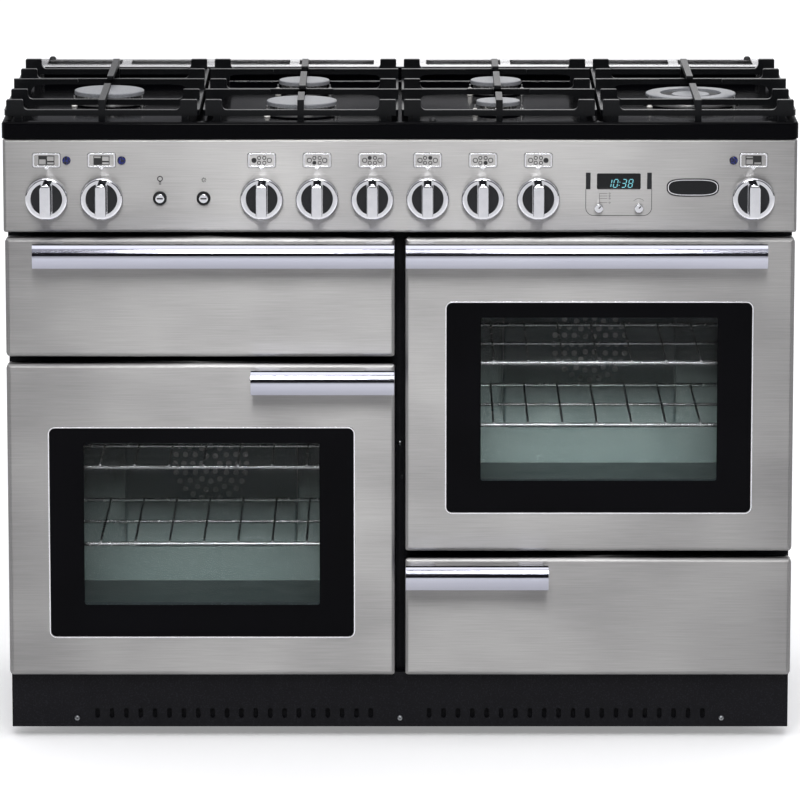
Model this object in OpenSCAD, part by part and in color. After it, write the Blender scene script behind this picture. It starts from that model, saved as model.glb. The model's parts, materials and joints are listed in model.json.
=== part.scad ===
// Dual-fuel range cooker: six gas burners, two ovens, a grill and a storage drawer.
// +Z is up, the front faces -Y, and the origin is on the floor under the middle.
// Depths are counted in millimetres back from the door faces.

/* [Overall] */
// Width over the rim of the hob
cooker_w = 1092; // [1060:1:1140]
// Depth from the door faces to the rear edge of the hob
cooker_d = 600; // [585:1:660]
// Gap between the floor and the lower edge of the plinth
plinth_gap = 15; // [8:1:30]
// Height of the plinth front
plinth_h = 78; // [70:1:110]
// Setback of the plinth behind the door faces
plinth_setback = 24; // [15:1:34]
// Inset of the body sides from the rim of the hob
body_inset = 4.5; // [3:0.5:8]
// Thickness of the folded sheet steel
sheet = 2; // [1.5:0.1:2.5]
// Width of the flanges on the sheet parts
flange = 16; // [12:1:22]
// Inset of the rear panel from the rear edge of the hob
rear_inset = 32; // [28:1:44]

/* [Front layout] */
// Height of the two oven doors
tall_h = 441; // [436:1:470]
// Height of the grill door and the drawer front
short_h = 167; // [162:1:190]
// Gap between a door and the front below it
front_gap = 9; // [8.5:0.5:14]
// Gap between the doors and the control panel
panel_gap = 7; // [4:0.5:12]
// Gap between the left and right doors
centre_gap = 12; // [8:1:18]
// Inset of the doors from the rim of the hob
door_inset = 3; // [1:0.5:6]
// Gap between the plinth and the lowest doors
lower_gap = 1; // [0.5:0.5:3]

/* [Doors] */
// Depth of the steel door skins
skin_depth = 20; // [17:1:24]
// Radius of the door corners
door_corner_r = 8; // [5:0.5:12]
// Radius of the front edges of the doors
door_edge_r = 6; // [3:0.5:8]
// Depth of the enamelled door liners
liner_depth = 22; // [20:1:26]
// Margin between a door's edge and its liner
liner_margin = 14; // [12:1:15]
// Space between the door liners and the front frame
seal_space = 6; // [5:0.5:8]
// Clearance of a turning door's lower edge from the front frame
swing_clearance = 3; // [1:0.5:4]
// Width of the window in an oven door
window_w = 421; // [390:1:440]
// Height of the window in an oven door
window_h = 295; // [270:1:320]
// Height of the window above the door's lower edge
window_up = 55; // [45:1:70]
// Radius of the window corners
window_r = 8; // [4:0.5:14]
// Overlap of the window glass behind the door skin
glass_lap = 10; // [6:1:14]
// Thickness of the window glass
glass_t = 4; // [3:0.5:5]
// Width of the clear sight area in the window
sight_w = 326; // [300:1:350]
// Height of the clear sight area in the window
sight_h = 229; // [200:1:250]
// Height of the sight area above the door's lower edge
sight_up = 100; // [90:1:110]

/* [Hinges] */
// Thickness of a hinge arm
hinge_t = 4; // [3:0.5:6]
// Radius of a hinge pin
hinge_pin_r = 3; // [2.5:0.1:3.5]
// Clearance round a hinge pin
pin_clearance = 0.1; // [0.05:0.01:0.15]
// Inset of the hinges from the ends of a door liner
hinge_inset = 30; // [24:1:40]

/* [Handles] */
// Reach of the handles in front of the door faces
handle_reach = 48; // [44:1:58]
// Height of a handle bar
bar_h = 32; // [26:1:36]
// Thickness of a handle bar from front to back
bar_t = 18; // [14:1:22]
// Bulge of a handle bar's front face
bar_bulge = 6; // [3:0.5:8]
// Drop of a handle bar below the door's upper edge
bar_drop = 4.5; // [3:0.5:10]
// Length of the two long handle bars
long_bar = 495; // [440:1:505]
// Length of the two short handle bars
short_bar = 197; // [160:1:240]
// Inset of the handle bars from the door edge next to the middle
bar_inset = 2; // [1:0.5:8]
// Width of a handle bracket
bracket_w = 38; // [30:1:44]
// Height of a handle bracket
bracket_h = 24; // [18:1:25]

/* [Control panel] */
// Height of the control panel
panel_h = 130; // [125:1:150]
// Radius of the control panel's front edges
panel_edge_r = 4; // [2:0.5:6]
// Inset of the panel ends from the rim of the hob
panel_inset = 1.5; // [1:0.5:4]
// Height of the knob axes above the panel's lower edge
knob_up = 48; // [44:1:55]
// Diameter of a control knob
knob_d = 58.5; // [52:0.5:62]
// Reach of a control knob in front of the panel
knob_reach = 45; // [38:1:48]
// Diameter of the dark dish in a control knob
dish_d = 44; // [40:0.5:46]
// Width of a knob's grip
grip_w = 15; // [12:0.5:18]
// Length of a knob's grip
grip_l = 47; // [42:0.5:50]
// Gap between a knob and the panel
knob_gap = 2; // [1:0.5:3]
// Radius of a control spindle
spindle_r = 4; // [3:0.5:5]
// Distance of the outer knobs from the rim of the hob
knob_edge = 61.5; // [55:0.5:64]
// Spacing of the grill and left oven knobs
oven_knob_pitch = 75.5; // [72:0.5:78]
// Spacing of the burner knobs
burner_knob_pitch = 75.8; // [68:0.2:77]
// Spacing of a button and the knob next to it
button_step = 80; // [72:1:84]
// Spacing of the two buttons
button_pitch = 60; // [50:1:64]
// Diameter of a button's bezel
button_d = 19; // [17:0.5:22]
// Travel of a button
button_travel = 3; // [2:0.5:3.5]
// Diameter of a neon lens
neon_d = 11.5; // [9:0.5:13]
// Height of the neon lenses above the panel's lower edge
neon_up = 100; // [96:1:106]
// Sideways offset of a neon lens from its knob
neon_side = 27.5; // [24:0.5:30]

/* [Clock] */
// Distance of the clock from the middle of the cooker
clock_x = 300; // [285:1:310]
// Width of the clock's display
display_w = 58; // [50:1:64]
// Height of the clock's display
display_h = 20; // [16:1:24]
// Height of the display's middle above the panel's lower edge
display_up = 71; // [68:1:76]
// Height of the clock knobs above the panel's lower edge
clock_knob_up = 34.5; // [30:0.5:40]
// Spacing of the clock knobs
clock_knob_pitch = 55; // [46:1:60]
// Diameter of a clock knob
clock_knob_d = 12; // [10:0.5:14]

/* [Hob] */
// Height of the hob rim
rim_h = 23; // [20:1:30]
// Width of the rim round the hob's well
rim_w = 14; // [11:1:18]
// Overhang of the hob in front of the door faces
rim_overhang = 2; // [0:0.5:6]
// Depth of the hob's well below its rim
well_depth = 8; // [6:0.5:10]
// Radius of the hob's corners
hob_corner_r = 12; // [6:1:18]
// Radius of the hob's upper edges
hob_edge_r = 4; // [2:0.5:5]
// Height of the pan supports above the rim
support_rise = 27; // [25:1:34]
// Width of one pan support
support_w = 268; // [256:1:270]
// Gap between two pan supports
support_gap = 5; // [3:0.5:6]
// Depth of the first row of fingers behind the door faces
first_row = 30; // [24:1:36]
// Spacing of the rows of fingers
row_pitch = 107.5; // [102:0.5:109]
// Thickness of the cast bars
cast_t = 9; // [7:0.5:11]
// Height of the cast rails
rail_h = 8; // [7:0.5:13]
// Gap between the cast rails and the rim of the hob
rail_gap = 5; // [1:0.5:6]
// Length of a short finger
lug_l = 23; // [20:1:30]
// Distance of a long finger's tip from the middle of the support
finger_tip = 44; // [38:1:50]
// Height of a finger at its tip
tip_h = 5; // [4:0.5:8]
// Height of a raised seat under a burner
seat_h = 2; // [1:0.5:3]
// Height of a burner head
head_h = 12; // [10:0.5:14]
// Height of a burner cap
cap_h = 5.5; // [4.5:0.5:8]
// Diameter of the large burner caps
large_cap_d = 98; // [90:1:104]
// Diameter of the medium burner caps
medium_cap_d = 72; // [66:1:78]
// Diameter of the small burner cap
small_cap_d = 61; // [54:1:66]
// Outer diameter of the wok burner's ring cap
wok_cap_d = 127; // [118:1:134]
// Inner diameter of the wok burner's ring cap
wok_bore_d = 86; // [80:1:90]
// Width of a flame port
port_w = 2.4; // [2:0.1:3]
// Spacing of the flame ports round a burner
port_pitch = 7.5; // [6.5:0.5:10]

/* [Rear vent] */
// Height of the rear vent trim above the rim
vent_rise = 14; // [8:1:22]
// Depth of the rear vent trim from front to back
vent_d = 86; // [70:1:90]
// Gap between the rear vent trim and the rear rim
vent_gap = 20; // [8:1:22]
// Length of a vent slot
vent_slot_l = 108; // [90:1:112]
// Width of a vent slot
vent_slot_w = 52; // [36:1:54]
// Spacing of the vent slots
vent_pitch = 122; // [116:1:123]
// Half of the solid stretch in the middle of the vent trim
vent_middle = 38; // [24:1:40]

/* [Cavities] */
// Width of the oven and grill cavities
cavity_w = 400; // [380:1:420]
// Height of the oven cavities
oven_h = 370; // [350:1:374]
// Depth of the oven cavities
oven_d = 400; // [390:1:420]
// Height of an oven cavity above its door's lower edge
oven_up = 36; // [34:1:40]
// Height of the grill cavity
grill_h = 120; // [112:1:124]
// Depth of the grill cavity
grill_d = 350; // [330:1:400]
// Height of the grill cavity above its door's lower edge
grill_up = 26; // [24:1:30]
// Radius of the cavity corners
cavity_r = 18; // [10:1:26]
// Width of an oven seal
seal_w = 8; // [6:0.5:10]
// Gap between an oven seal and the closed door
seal_gap = 0.3; // [0.2:0.1:0.6]

/* [Shelves] */
// Height of the left oven's upper rack above the door's lower edge
left_high_rack = 280; // [272:1:290]
// Height of the left oven's lower rack above the door's lower edge
left_low_rack = 170.5; // [160:0.5:180]
// Height of the right oven's upper rack above the door's lower edge
right_high_rack = 252; // [244:1:262]
// Height of the right oven's lower rack above the door's lower edge
right_low_rack = 164; // [156:1:174]
// Radius of a rack's frame wire
rack_wire_r = 3; // [2.5:0.1:3.5]
// Radius of a rack's cross wires
thin_wire_r = 1.6; // [1.2:0.1:2]
// Spacing of a rack's cross wires
rack_pitch = 48; // [40:1:60]
// Depth of a rack from front to back
rack_d = 310; // [280:1:312]
// Distance from the front frame back to the racks and the grill pan
rack_start = 24; // [22:1:30]
// Gap between a rack and the guide it slides on
guide_gap = 0.3; // [0.2:0.1:0.5]

/* [Drawer] */
// Width of the drawer box
drawer_w = 456; // [420:1:460]
// Height of the drawer box
drawer_h = 112; // [90:1:116]
// Depth of the drawer box
drawer_d = 420; // [360:1:450]
// Height of the drawer box above the drawer front's lower edge
drawer_up = 20; // [18:1:26]
// Thickness of a drawer runner
runner_t = 9; // [8:0.5:12]
// Running clearance of the drawer in its runners
runner_gap = 0.5; // [0.3:0.1:0.8]

/* [Hidden] */
$fn = 64;
eps = 1;
seat_gap = 0.3;
side_inset = 10;
arc_fn = 160;

half_w = cooker_w / 2;
face_y = (handle_reach - cooker_d) / 2;

// Heights
base_z = plinth_gap + plinth_h;
doors_z = base_z + lower_gap;
left_z = doors_z;
drawer_z = doors_z;
grill_z = left_z + tall_h + front_gap;
right_z = drawer_z + short_h + front_gap;
doors_top = grill_z + short_h;
panel_z = doors_top + panel_gap;
panel_top = panel_z + panel_h;
rim_top = panel_top + rim_h;
floor_z = rim_top - well_depth;
support_top = rim_top + support_rise;
rail_z = rim_top + rail_gap;
rail_top = rail_z + rail_h;
seat_z = floor_z + seat_h;

// Widths
body_half = half_w - body_inset;
panel_half = half_w - panel_inset;
door_w = half_w - centre_gap / 2 - door_inset;
door_mid = centre_gap / 2 + door_w / 2;
liner_w = door_w - 2 * liner_margin;
well_half = half_w - rim_w;
support_pitch = support_w + support_gap;

// Depths
liner_y = skin_depth + seat_gap;
liner_back = skin_depth + liner_depth;
frame_y = liner_back + seal_space;
case_y = frame_y + sheet;
side_back = cooker_d - side_inset;
rear_y = cooker_d - rear_inset;
well_front = rim_w - rim_overhang;
well_back = cooker_d - rim_w;
row = [for (i = [0:4]) first_row + i * row_pitch];
vent_back = well_back - vent_gap;
vent_front = vent_back - vent_d;

// Return edge of a door skin, wide enough to carry the liner
skin_return = liner_margin + sheet + 1;

// Door pivots: the lower or side edge turns just clear of the front frame
pivot_y = skin_depth + 2;
pivot_in = frame_y - pivot_y - swing_clearance;
side_pivot_in = liner_margin - 1;

// Cavities
left_oven_z = left_z + oven_up;
right_oven_z = right_z + oven_up;
grill_cavity_z = grill_z + grill_up;
oven_back = case_y + oven_d;
grill_back = case_y + grill_d;
rack_front = case_y + rack_start;
fan_up = oven_h / 2;
fan_r = 68;
motor_bore = 20;
cavity_flange = 12;
cover_half = 125;
cover_depth = 54;
cover_front = oven_back - cover_depth;

// Control positions along X, counted from the left
grill_knob_x = -(half_w - knob_edge);
left_oven_knob_x = grill_knob_x + oven_knob_pitch;
right_oven_knob_x = half_w - knob_edge;
burner_knob_x = [for (i = [0:5]) (i - 2.5) * burner_knob_pitch];
button_space = burner_knob_x[0] - left_oven_knob_x;
button_share = button_space / (2 * button_step + button_pitch);
button_x = [for (i = [0:1]) left_oven_knob_x + (button_step + i * button_pitch) * button_share];
neon_x = [grill_knob_x + neon_side, left_oven_knob_x + neon_side, right_oven_knob_x - neon_side];
clock_knob_x = [for (i = [-1, 1]) clock_x + i * clock_knob_pitch / 2];
knob_z = panel_z + knob_up;
neon_z = panel_z + neon_up;
display_z = panel_z + display_up;
clock_knob_z = panel_z + clock_knob_up;

// Gas supply behind the panel
tap_back = 68;
gas_rail_y = 62;
gas_rail_r = 8;
inlet_r = 10.5;
inlet_inset = 110;
inlet_x = body_half - inlet_inset;

// Knobs
skirt_h = 14;
dish_h = 8;
spindle_depth = 18;
spindle_clearance = 0.3;
spindle_hole_r = spindle_r + 3;
bezel_reach = 5;
switch_back = 30;
collar_t = 3;
bezel_wall = 3.2;
button_depth = 8;
button_cap_r = button_d / 2 - bezel_wall;
button_stem_r = 2.5;
stem_bore = 24;
clock_spindle_r = 2;
clock_spindle_l = 12;
lens_step = 1.6;

// Hinges
hinge_slot = hinge_t / 2 + 1.5;
hinge_boss_l = 11;
hinge_boss_up = 7;
hinge_boss_down = pivot_in - skin_return - 0.5;
hinge_eye_r = 5.5;
hinge_arm_w = 9;
hinge_foot = 10;
hinge_foot_t = 1.5;
hinge_foot_down = 4;
hinge_foot_up = hinge_arm_w + 8;
hinge_slot_up = hinge_arm_w + 4;

// Shelf guides: the rails stand in from the wall, and the racks a little more
post_in = 4.5;
rail_in = 9.5;
rack_in = 11.7;
guide_post_r = 3;
guide_rail_r = 2.5;
left_level_step = (left_high_rack - left_low_rack) / 3;
left_levels = [for (i = [-2:3]) left_low_rack + i * left_level_step];
right_level_step = (right_high_rack - right_low_rack) / 2;
right_levels = [for (i = [-1:3]) right_low_rack + i * right_level_step];
pan_flange_up = 58;
pan_ledge_w = 16;
pan_rail_h = 8;

// Drawer runners
drawer_rail_up = 40;
drawer_rail_z = drawer_z + drawer_up + drawer_rail_up;
drawer_rail_h = 20;
channel_t = 3;
opening_gap = 2;
opening_over = 8;
opening_r = 4;

// Feet and plinth slots
foot_in = 60;
foot_back = 70;
plinth_return = 30;
plinth_slot_w = 6.5;
plinth_slot_h = 14.5;
plinth_slot_pitch = 20.1;
plinth_slot_up = 12;
plinth_slots = 20;
plinth_solid = 40.7;
slot_flat = 0.05;

// Rear panel
louvre_w = 90;
louvre_h = 5;
louvre_pitch = 17;
louvre_step = 60;
louvre_drop = 108;
top_louvres = 5;
hump_louvres = 3;
hump_half = 90;
hump_slot_half = 60;
hump_depth = 12;
hump_z = left_oven_z + fan_up;
box_inset = 130;
box_half_w = 60;
box_half_h = 40;
box_depth = 16;
box_r = 8;
cable_up = 90;
cable_z = base_z + cable_up;
cable_r = 5;
gland_r = 11;
gland_l = 8;
nut_t = 4;
nut_over = 2;
pipe_gap = 0.5;

// Burners: place along X, row, cap diameter
burner_x = [for (i = [-1.5, -0.5, 0.5, 1.5]) i * support_pitch];
small_burners = [
    [burner_x[0], row[2], large_cap_d],
    [burner_x[1], row[1], large_cap_d],
    [burner_x[1], row[3], medium_cap_d],
    [burner_x[2], row[1], small_cap_d],
    [burner_x[2], row[3], medium_cap_d]
];
head_top = seat_z + head_h;
cap_lap = 4;
cap_edge_r = 1.5;
cap_step = 2;
wok_top = head_top - cap_step;
inner_cap_r = 27;
seat_w = 5;
seat_edge_r = 0.6;
foot_w = 3;
foot_t = 1.5;
waist = 2.5;
waist_up = 3;

// Puts a shape that is drawn from the door faces back into its place on the cooker
module at_face() translate([0, face_y, 0]) children();

module block(x0, x1, y0, y1, z0, z1) translate([x0, y0, z0]) cube([x1 - x0, y1 - y0, z1 - z0]);

module rod_x(x0, x1, y, z, r) translate([x0, y, z]) rotate([0, 90, 0]) cylinder(h = x1 - x0, r = r);

module rod_y(y0, y1, x, z, r) translate([x, y0, z]) rotate([-90, 0, 0]) cylinder(h = y1 - y0, r = r);

module rod_z(z0, z1, x, y, r) translate([x, y, z0]) cylinder(h = z1 - z0, r = r);

// Extrusions of an outline along one axis; the outline is drawn in the other two, in order
module along_x(x0, x1) translate([x0, 0, 0]) rotate([90, 0, 90]) linear_extrude(x1 - x0) children();

module along_y(y0, y1) translate([0, y1, 0]) rotate([90, 0, 0]) linear_extrude(y1 - y0) children();

module along_z(z0, z1) translate([0, 0, z0]) linear_extrude(z1 - z0) children();

// Outline with four round corners
module round_rect(x0, x1, y0, y1, r) {
    translate([x0 + r, y0]) square([x1 - x0 - 2 * r, y1 - y0]);
    translate([x0, y0 + r]) square([x1 - x0, y1 - y0 - 2 * r]);
    for (x = [x0 + r, x1 - r], y = [y0 + r, y1 - r]) translate([x, y]) circle(r);
}

// Slab with round corners and a rounded edge round its front face, like a pressed skin
module pressed_slab(x0, x1, y0, y1, z0, z1, corner_r, edge_r) {
    intersection() {
        along_y(y0, y1) round_rect(x0, x1, z0, z1, corner_r);
        along_x(x0, x1) round_rect(y0, y1 + 2 * edge_r, z0, z1, edge_r);
        along_z(z0, z1) round_rect(x0, x1, y0, y1 + 2 * edge_r, edge_r);
    }
}

// Turned shape about an axis that runs out of the front; its profile is drawn radius, reach
module turned(x, z) translate([x, 0, z]) rotate([90, 0, 0]) rotate_extrude() children();

// Half section of a disc with a rounded upper edge
module disc_profile(r, z0, z1, e) {
    translate([0, z0]) square([r, z1 - e - z0]);
    translate([0, z0]) square([r - e, z1 - z0]);
    translate([r - e, z1 - e]) circle(e);
}

// Folded steel skin: its edges turn back and then inwards, where the liner is fixed
module door_skin(x0, x1, z0, z1) {
    difference() {
        pressed_slab(x0, x1, 0, skin_depth, z0, z1, door_corner_r, door_edge_r);
        intersection() {
            pressed_slab(x0 + sheet, x1 - sheet, sheet, skin_depth + eps, z0 + sheet, z1 - sheet,
                door_corner_r - sheet, door_edge_r - sheet);
            block(x0, x1, 0, skin_depth - sheet, z0, z1);
        }
        along_y(skin_depth - sheet - eps, skin_depth + eps) round_rect(x0 + skin_return,
            x1 - skin_return, z0 + skin_return, z1 - skin_return, sheet);
    }
}

module window_outline(mid_x, z, grow) {
    round_rect(mid_x - window_w / 2 - grow, mid_x + window_w / 2 + grow,
        z + window_up - grow, z + window_up + window_h + grow, window_r);
}

module sight_outline(mid_x, z, grow) {
    round_rect(mid_x - sight_w / 2 - grow, mid_x + sight_w / 2 + grow,
        z + sight_up - grow, z + sight_up + sight_h + grow, window_r);
}

module oven_door_panel(mid_x, z) {
    difference() {
        door_skin(mid_x - door_w / 2, mid_x + door_w / 2, z, z + tall_h);
        along_y(-eps, sheet + eps) window_outline(mid_x, z, 0);
    }
}

// Outer pane behind the skin and inner pane in front of the liner's opening
module oven_door_glass(mid_x, z) {
    along_y(sheet, sheet + glass_t) window_outline(mid_x, z, glass_lap);
    along_y(liner_back - sheet - glass_t, liner_back - sheet) sight_outline(mid_x, z, 2 * glass_lap);
}

// Enamelled pan that closes the back of a door, open towards the skin
module door_liner(mid_x, z, h) {
    x0 = mid_x - liner_w / 2;
    x1 = mid_x + liner_w / 2;
    z0 = z + liner_margin;
    z1 = z + h - liner_margin;
    mirror([0, 1, 0]) translate([0, -liner_back, 0]) difference() {
        pressed_slab(x0, x1, 0, liner_back - liner_y, z0, z1, door_corner_r, door_edge_r);
        pressed_slab(x0 + sheet, x1 - sheet, sheet, liner_depth + eps, z0 + sheet, z1 - sheet,
            door_corner_r - sheet, door_edge_r - sheet);
    }
}

// Bosses on both sides of a hinge arm, in a frame where the pin runs along X
module hinge_bosses() {
    for (side = [-1, 1]) {
        x0 = side < 0 ? -hinge_slot - hinge_boss_l : hinge_slot;
        block(x0, x0 + hinge_boss_l, -hinge_boss_up, liner_back - pivot_y - sheet / 2,
            -hinge_boss_down, hinge_boss_up);
    }
}

module hinge_boss_bore() {
    rod_x(-hinge_slot - hinge_boss_l - eps, hinge_slot + hinge_boss_l + eps, 0, 0,
        hinge_pin_r + pin_clearance);
}

// Slot in the liner for the arm, open towards the edge of the door
module hinge_slot_cut() {
    block(-hinge_slot, hinge_slot, -hinge_boss_up - eps, liner_back, -liner_depth, hinge_slot_up);
}

// Fixed arm with its pin: the eye is on the pivot and the foot is on the front frame
module hinge_arm() {
    rod_x(-hinge_slot - hinge_boss_l, hinge_slot + hinge_boss_l, 0, 0, hinge_pin_r);
    rod_x(-hinge_t / 2, hinge_t / 2, 0, 0, hinge_eye_r);
    block(-hinge_t / 2, hinge_t / 2, 0, frame_y - pivot_y - hinge_foot_t, 0, hinge_arm_w);
    block(-hinge_foot, hinge_foot, frame_y - pivot_y - hinge_foot_t, frame_y - pivot_y,
        -hinge_foot_down, hinge_foot_up);
}

// Places of the two hinges of a door that drops down
module at_drop_hinges(mid_x, z) {
    for (side = [-1, 1]) {
        translate([mid_x + side * (liner_w / 2 - hinge_inset), pivot_y, z + pivot_in]) children();
    }
}

// Places of the two hinges on the left edge of the left oven door
module at_side_hinges() {
    for (z = [left_z + liner_margin + hinge_inset, left_z + tall_h - liner_margin - hinge_inset]) {
        translate([-door_mid - door_w / 2 + side_pivot_in, pivot_y, z]) rotate([0, 90, 0]) children();
    }
}

module drop_door_inner(mid_x, z, h, sight) {
    difference() {
        union() {
            door_liner(mid_x, z, h);
            at_drop_hinges(mid_x, z) hinge_bosses();
        }
        at_drop_hinges(mid_x, z) hinge_slot_cut();
        at_drop_hinges(mid_x, z) hinge_boss_bore();
        if (sight) along_y(liner_y, liner_back + eps) sight_outline(mid_x, z, glass_lap / 2);
    }
}

module side_door_inner(mid_x, z) {
    difference() {
        union() {
            door_liner(mid_x, z, tall_h);
            at_side_hinges() hinge_bosses();
        }
        at_side_hinges() hinge_slot_cut();
        at_side_hinges() hinge_boss_bore();
        along_y(liner_y, liner_back + eps) sight_outline(mid_x, z, glass_lap / 2);
    }
}

// Convex bar on two brackets
module bar_handle(x0, x1, door_top) {
    bar_edge_r = 2;
    bracket_inset = 4;
    bracket_edge_r = 3;
    z1 = door_top - bar_drop;
    z0 = z1 - bar_h;
    mid_z = (z0 + z1) / 2;
    bulge_r = (pow(bar_h / 2, 2) + pow(bar_bulge, 2)) / (2 * bar_bulge);
    along_x(x0, x1) intersection() {
        round_rect(-handle_reach, -handle_reach + bar_t, z0, z1, bar_edge_r);
        translate([-handle_reach + bulge_r, mid_z]) circle(bulge_r, $fn = arc_fn);
    }
    for (x = [x0 + bracket_inset, x1 - bracket_inset - bracket_w]) {
        along_y(-handle_reach + bar_t, 0) round_rect(x, x + bracket_w, mid_z - bracket_h / 2,
            mid_z + bracket_h / 2, bracket_edge_r);
    }
}

// Knob with a bright skirt, a dished face, a grip and a spindle that enters its control
module control_knob(x) {
    edge_r = 3;
    end_flat = 0.4;
    root = dish_h - eps / 2;
    translate([x, 0, knob_z]) {
        rotate([90, 0, 0]) rotate_extrude() difference() {
            disc_profile(knob_d / 2, knob_gap, skirt_h, edge_r);
            translate([-eps, dish_h]) square([dish_d / 2 + eps, skirt_h]);
        }
        pressed_slab(-grip_w / 2, grip_w / 2, -knob_reach, -root, -grip_l / 2, grip_l / 2,
            (grip_w - end_flat) / 2, edge_r);
        rod_y(-knob_gap - eps, spindle_depth, 0, 0, spindle_r);
    }
}

// Fan wheel with curved-in blades between a back plate and a front ring
module fan_wheel(mid_x, z) {
    blades = 14;
    blade_angle = 35;
    blade_half = 9;
    blade_half_t = 0.8;
    plate_t = 1.5;
    ring_w = 14;
    wheel_depth = 30;
    wall_space = 10;
    hub_setback = 4;
    rim_space = 3;
    wheel_back = oven_back - wall_space;
    wheel_front = wheel_back - wheel_depth;
    hub_front = wheel_front + hub_setback;
    hub_r = 10;
    translate([mid_x, 0, z]) {
        rod_y(hub_front, wheel_back, 0, 0, hub_r);
        rod_y(wheel_back - eps, oven_back + motor_bore - spindle_clearance, 0, 0, spindle_r);
        rod_y(wheel_back - plate_t, wheel_back, 0, 0, fan_r);
        difference() {
            rod_y(wheel_front, wheel_front + plate_t, 0, 0, fan_r);
            rod_y(wheel_front - eps, wheel_front + plate_t + eps, 0, 0, fan_r - ring_w);
        }
        for (i = [0:blades - 1]) {
            rotate([0, i * 360 / blades, 0]) translate([fan_r - blade_half - rim_space, 0, 0])
                rotate([0, blade_angle, 0]) block(-blade_half, blade_half, wheel_front + plate_t / 2,
                    wheel_back - plate_t / 2, -blade_half_t, blade_half_t);
        }
    }
}

// Enamelled box, open at the front, with a flange behind the front frame
module cavity_box(mid_x, z, h, d) {
    x0 = mid_x - cavity_w / 2;
    x1 = mid_x + cavity_w / 2;
    difference() {
        union() {
            along_y(case_y, case_y + d) round_rect(x0 - sheet, x1 + sheet, z - sheet, z + h + sheet,
                cavity_r + sheet);
            along_y(case_y, case_y + sheet) round_rect(x0 - cavity_flange, x1 + cavity_flange,
                z - cavity_flange, z + h + cavity_flange, cavity_r + cavity_flange);
        }
        along_y(case_y - eps, case_y + d - sheet) round_rect(x0, x1, z, z + h, cavity_r);
    }
}

module oven_box(mid_x, z) {
    difference() {
        cavity_box(mid_x, z, oven_h, oven_d);
        rod_y(oven_back - sheet - eps, oven_back + eps, mid_x, z + fan_up, spindle_hole_r);
    }
}

// Wire ladder on one side of an oven, with a pair of rails at each level
module guide_ladder(wall_x, side, z, levels) {
    rail_r = guide_rail_r;
    post_inset = 12;
    post_over = 24;
    peg_inset = 8;
    peg_l = 5;
    peg_r = 4;
    anti_tip_gap = 2;
    post_x = wall_x - side * post_in;
    rail_x = wall_x - side * rail_in;
    back = rack_front + rack_d;
    top = max(levels) + post_over;
    bottom = min(levels) - post_over;
    for (y = [rack_front + post_inset, back - post_inset]) {
        rod_z(z + bottom, z + top, post_x, y, guide_post_r);
        for (h = [bottom + peg_inset, top - peg_inset]) {
            peg_x = min(wall_x, wall_x - side * peg_l);
            rod_x(peg_x, peg_x + peg_l, y, z + h, peg_r);
        }
    }
    for (level = levels) {
        rod_y(rack_front, back, rail_x, z + level - rack_wire_r - guide_gap - rail_r, rail_r);
        rod_y(rack_front, back, rail_x, z + level + rack_wire_r + anti_tip_gap + rail_r, rail_r);
    }
}

// Wire rack: a frame wire all round with thin wires laid across it
module oven_rack(mid_x, z) {
    half = cavity_w / 2 - rack_in;
    back = rack_front + rack_d;
    r = rack_wire_r;
    end_space = 20;
    middle_share = 0.8;
    middle_r = r * middle_share;
    wire_inset = 0.5;
    wires = floor((half - end_space) / rack_pitch);
    for (y = [rack_front + r, back - r]) rod_x(mid_x - half, mid_x + half, y, z, r);
    for (side = [-1, 1]) rod_y(rack_front + r, back - r, mid_x + side * half, z, r);
    for (side = [-1, 1], y = [rack_front + r, back - r]) {
        translate([mid_x + side * half, y, z]) sphere(r);
    }
    rod_x(mid_x - half, mid_x + half, (rack_front + back) / 2, z, middle_r);
    for (i = [-wires:wires]) {
        rod_y(rack_front + wire_inset, back - wire_inset, mid_x + i * rack_pitch, z + r, thin_wire_r);
    }
}

// Long finger: a square root, a rounded hollow under it and a thin tip
module finger_outline(root, tip) {
    root_l = 24;
    hollow_r = 11;
    hollow_top = 8.5;
    tip_r = 1.5;
    run = abs(tip - root);
    centre_z = support_top - hollow_top - hollow_r;
    translate([root, 0]) mirror([tip < root ? 1 : 0, 0]) difference() {
        intersection() {
            translate([0, rail_z]) square([run, support_top - rail_z]);
            round_rect(-2 * tip_r, run, rail_z - 2 * tip_r, support_top, tip_r);
        }
        translate([root_l, rail_z - eps]) square([hollow_r, centre_z - rail_z + eps]);
        translate([root_l + hollow_r, centre_z]) circle(hollow_r);
        polygon([
            [root_l + hollow_r, rail_z - eps], [run + eps, rail_z - eps],
            [run + eps, support_top - tip_h], [root_l + hollow_r, support_top - hollow_top]
        ]);
    }
}

// Short finger with two rounded upper corners and a fillet down to the rail beside it
module lug_outline(root, side) {
    lug_r = 2;
    fillet_r = 7;
    inset = 3;
    end = inset + lug_l;
    translate([root, 0]) mirror([side < 0 ? 1 : 0, 0]) {
        intersection() {
            translate([inset, rail_z]) square([lug_l, support_top - rail_z]);
            round_rect(inset, end, rail_z - 2 * lug_r, support_top, lug_r);
        }
        difference() {
            translate([end - eps, rail_top - eps]) square([fillet_r + eps, fillet_r + eps]);
            translate([end + fillet_r, rail_top + fillet_r]) circle(fillet_r);
        }
    }
}

// Frame of one pan support, standing on six feet in the hob's well
module cast_frame(mid_x) {
    outer_r = 8;
    inner_r = 4;
    foot_inset = 20;
    half = support_w / 2;
    translate([mid_x, 0, 0]) {
        along_z(rail_z, rail_top) difference() {
            round_rect(-half, half, row[0] - cast_t / 2, row[4] + cast_t / 2, outer_r);
            round_rect(-half + cast_t, half - cast_t, row[0] + cast_t / 2, row[4] - cast_t / 2, inner_r);
        }
        for (x = [-half + foot_inset, 0, half - foot_inset], y = [row[0], row[4]]) {
            block(x - cast_t / 2, x + cast_t / 2, y - cast_t / 2, y + cast_t / 2, floor_z, rail_z + eps);
        }
    }
}

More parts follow.
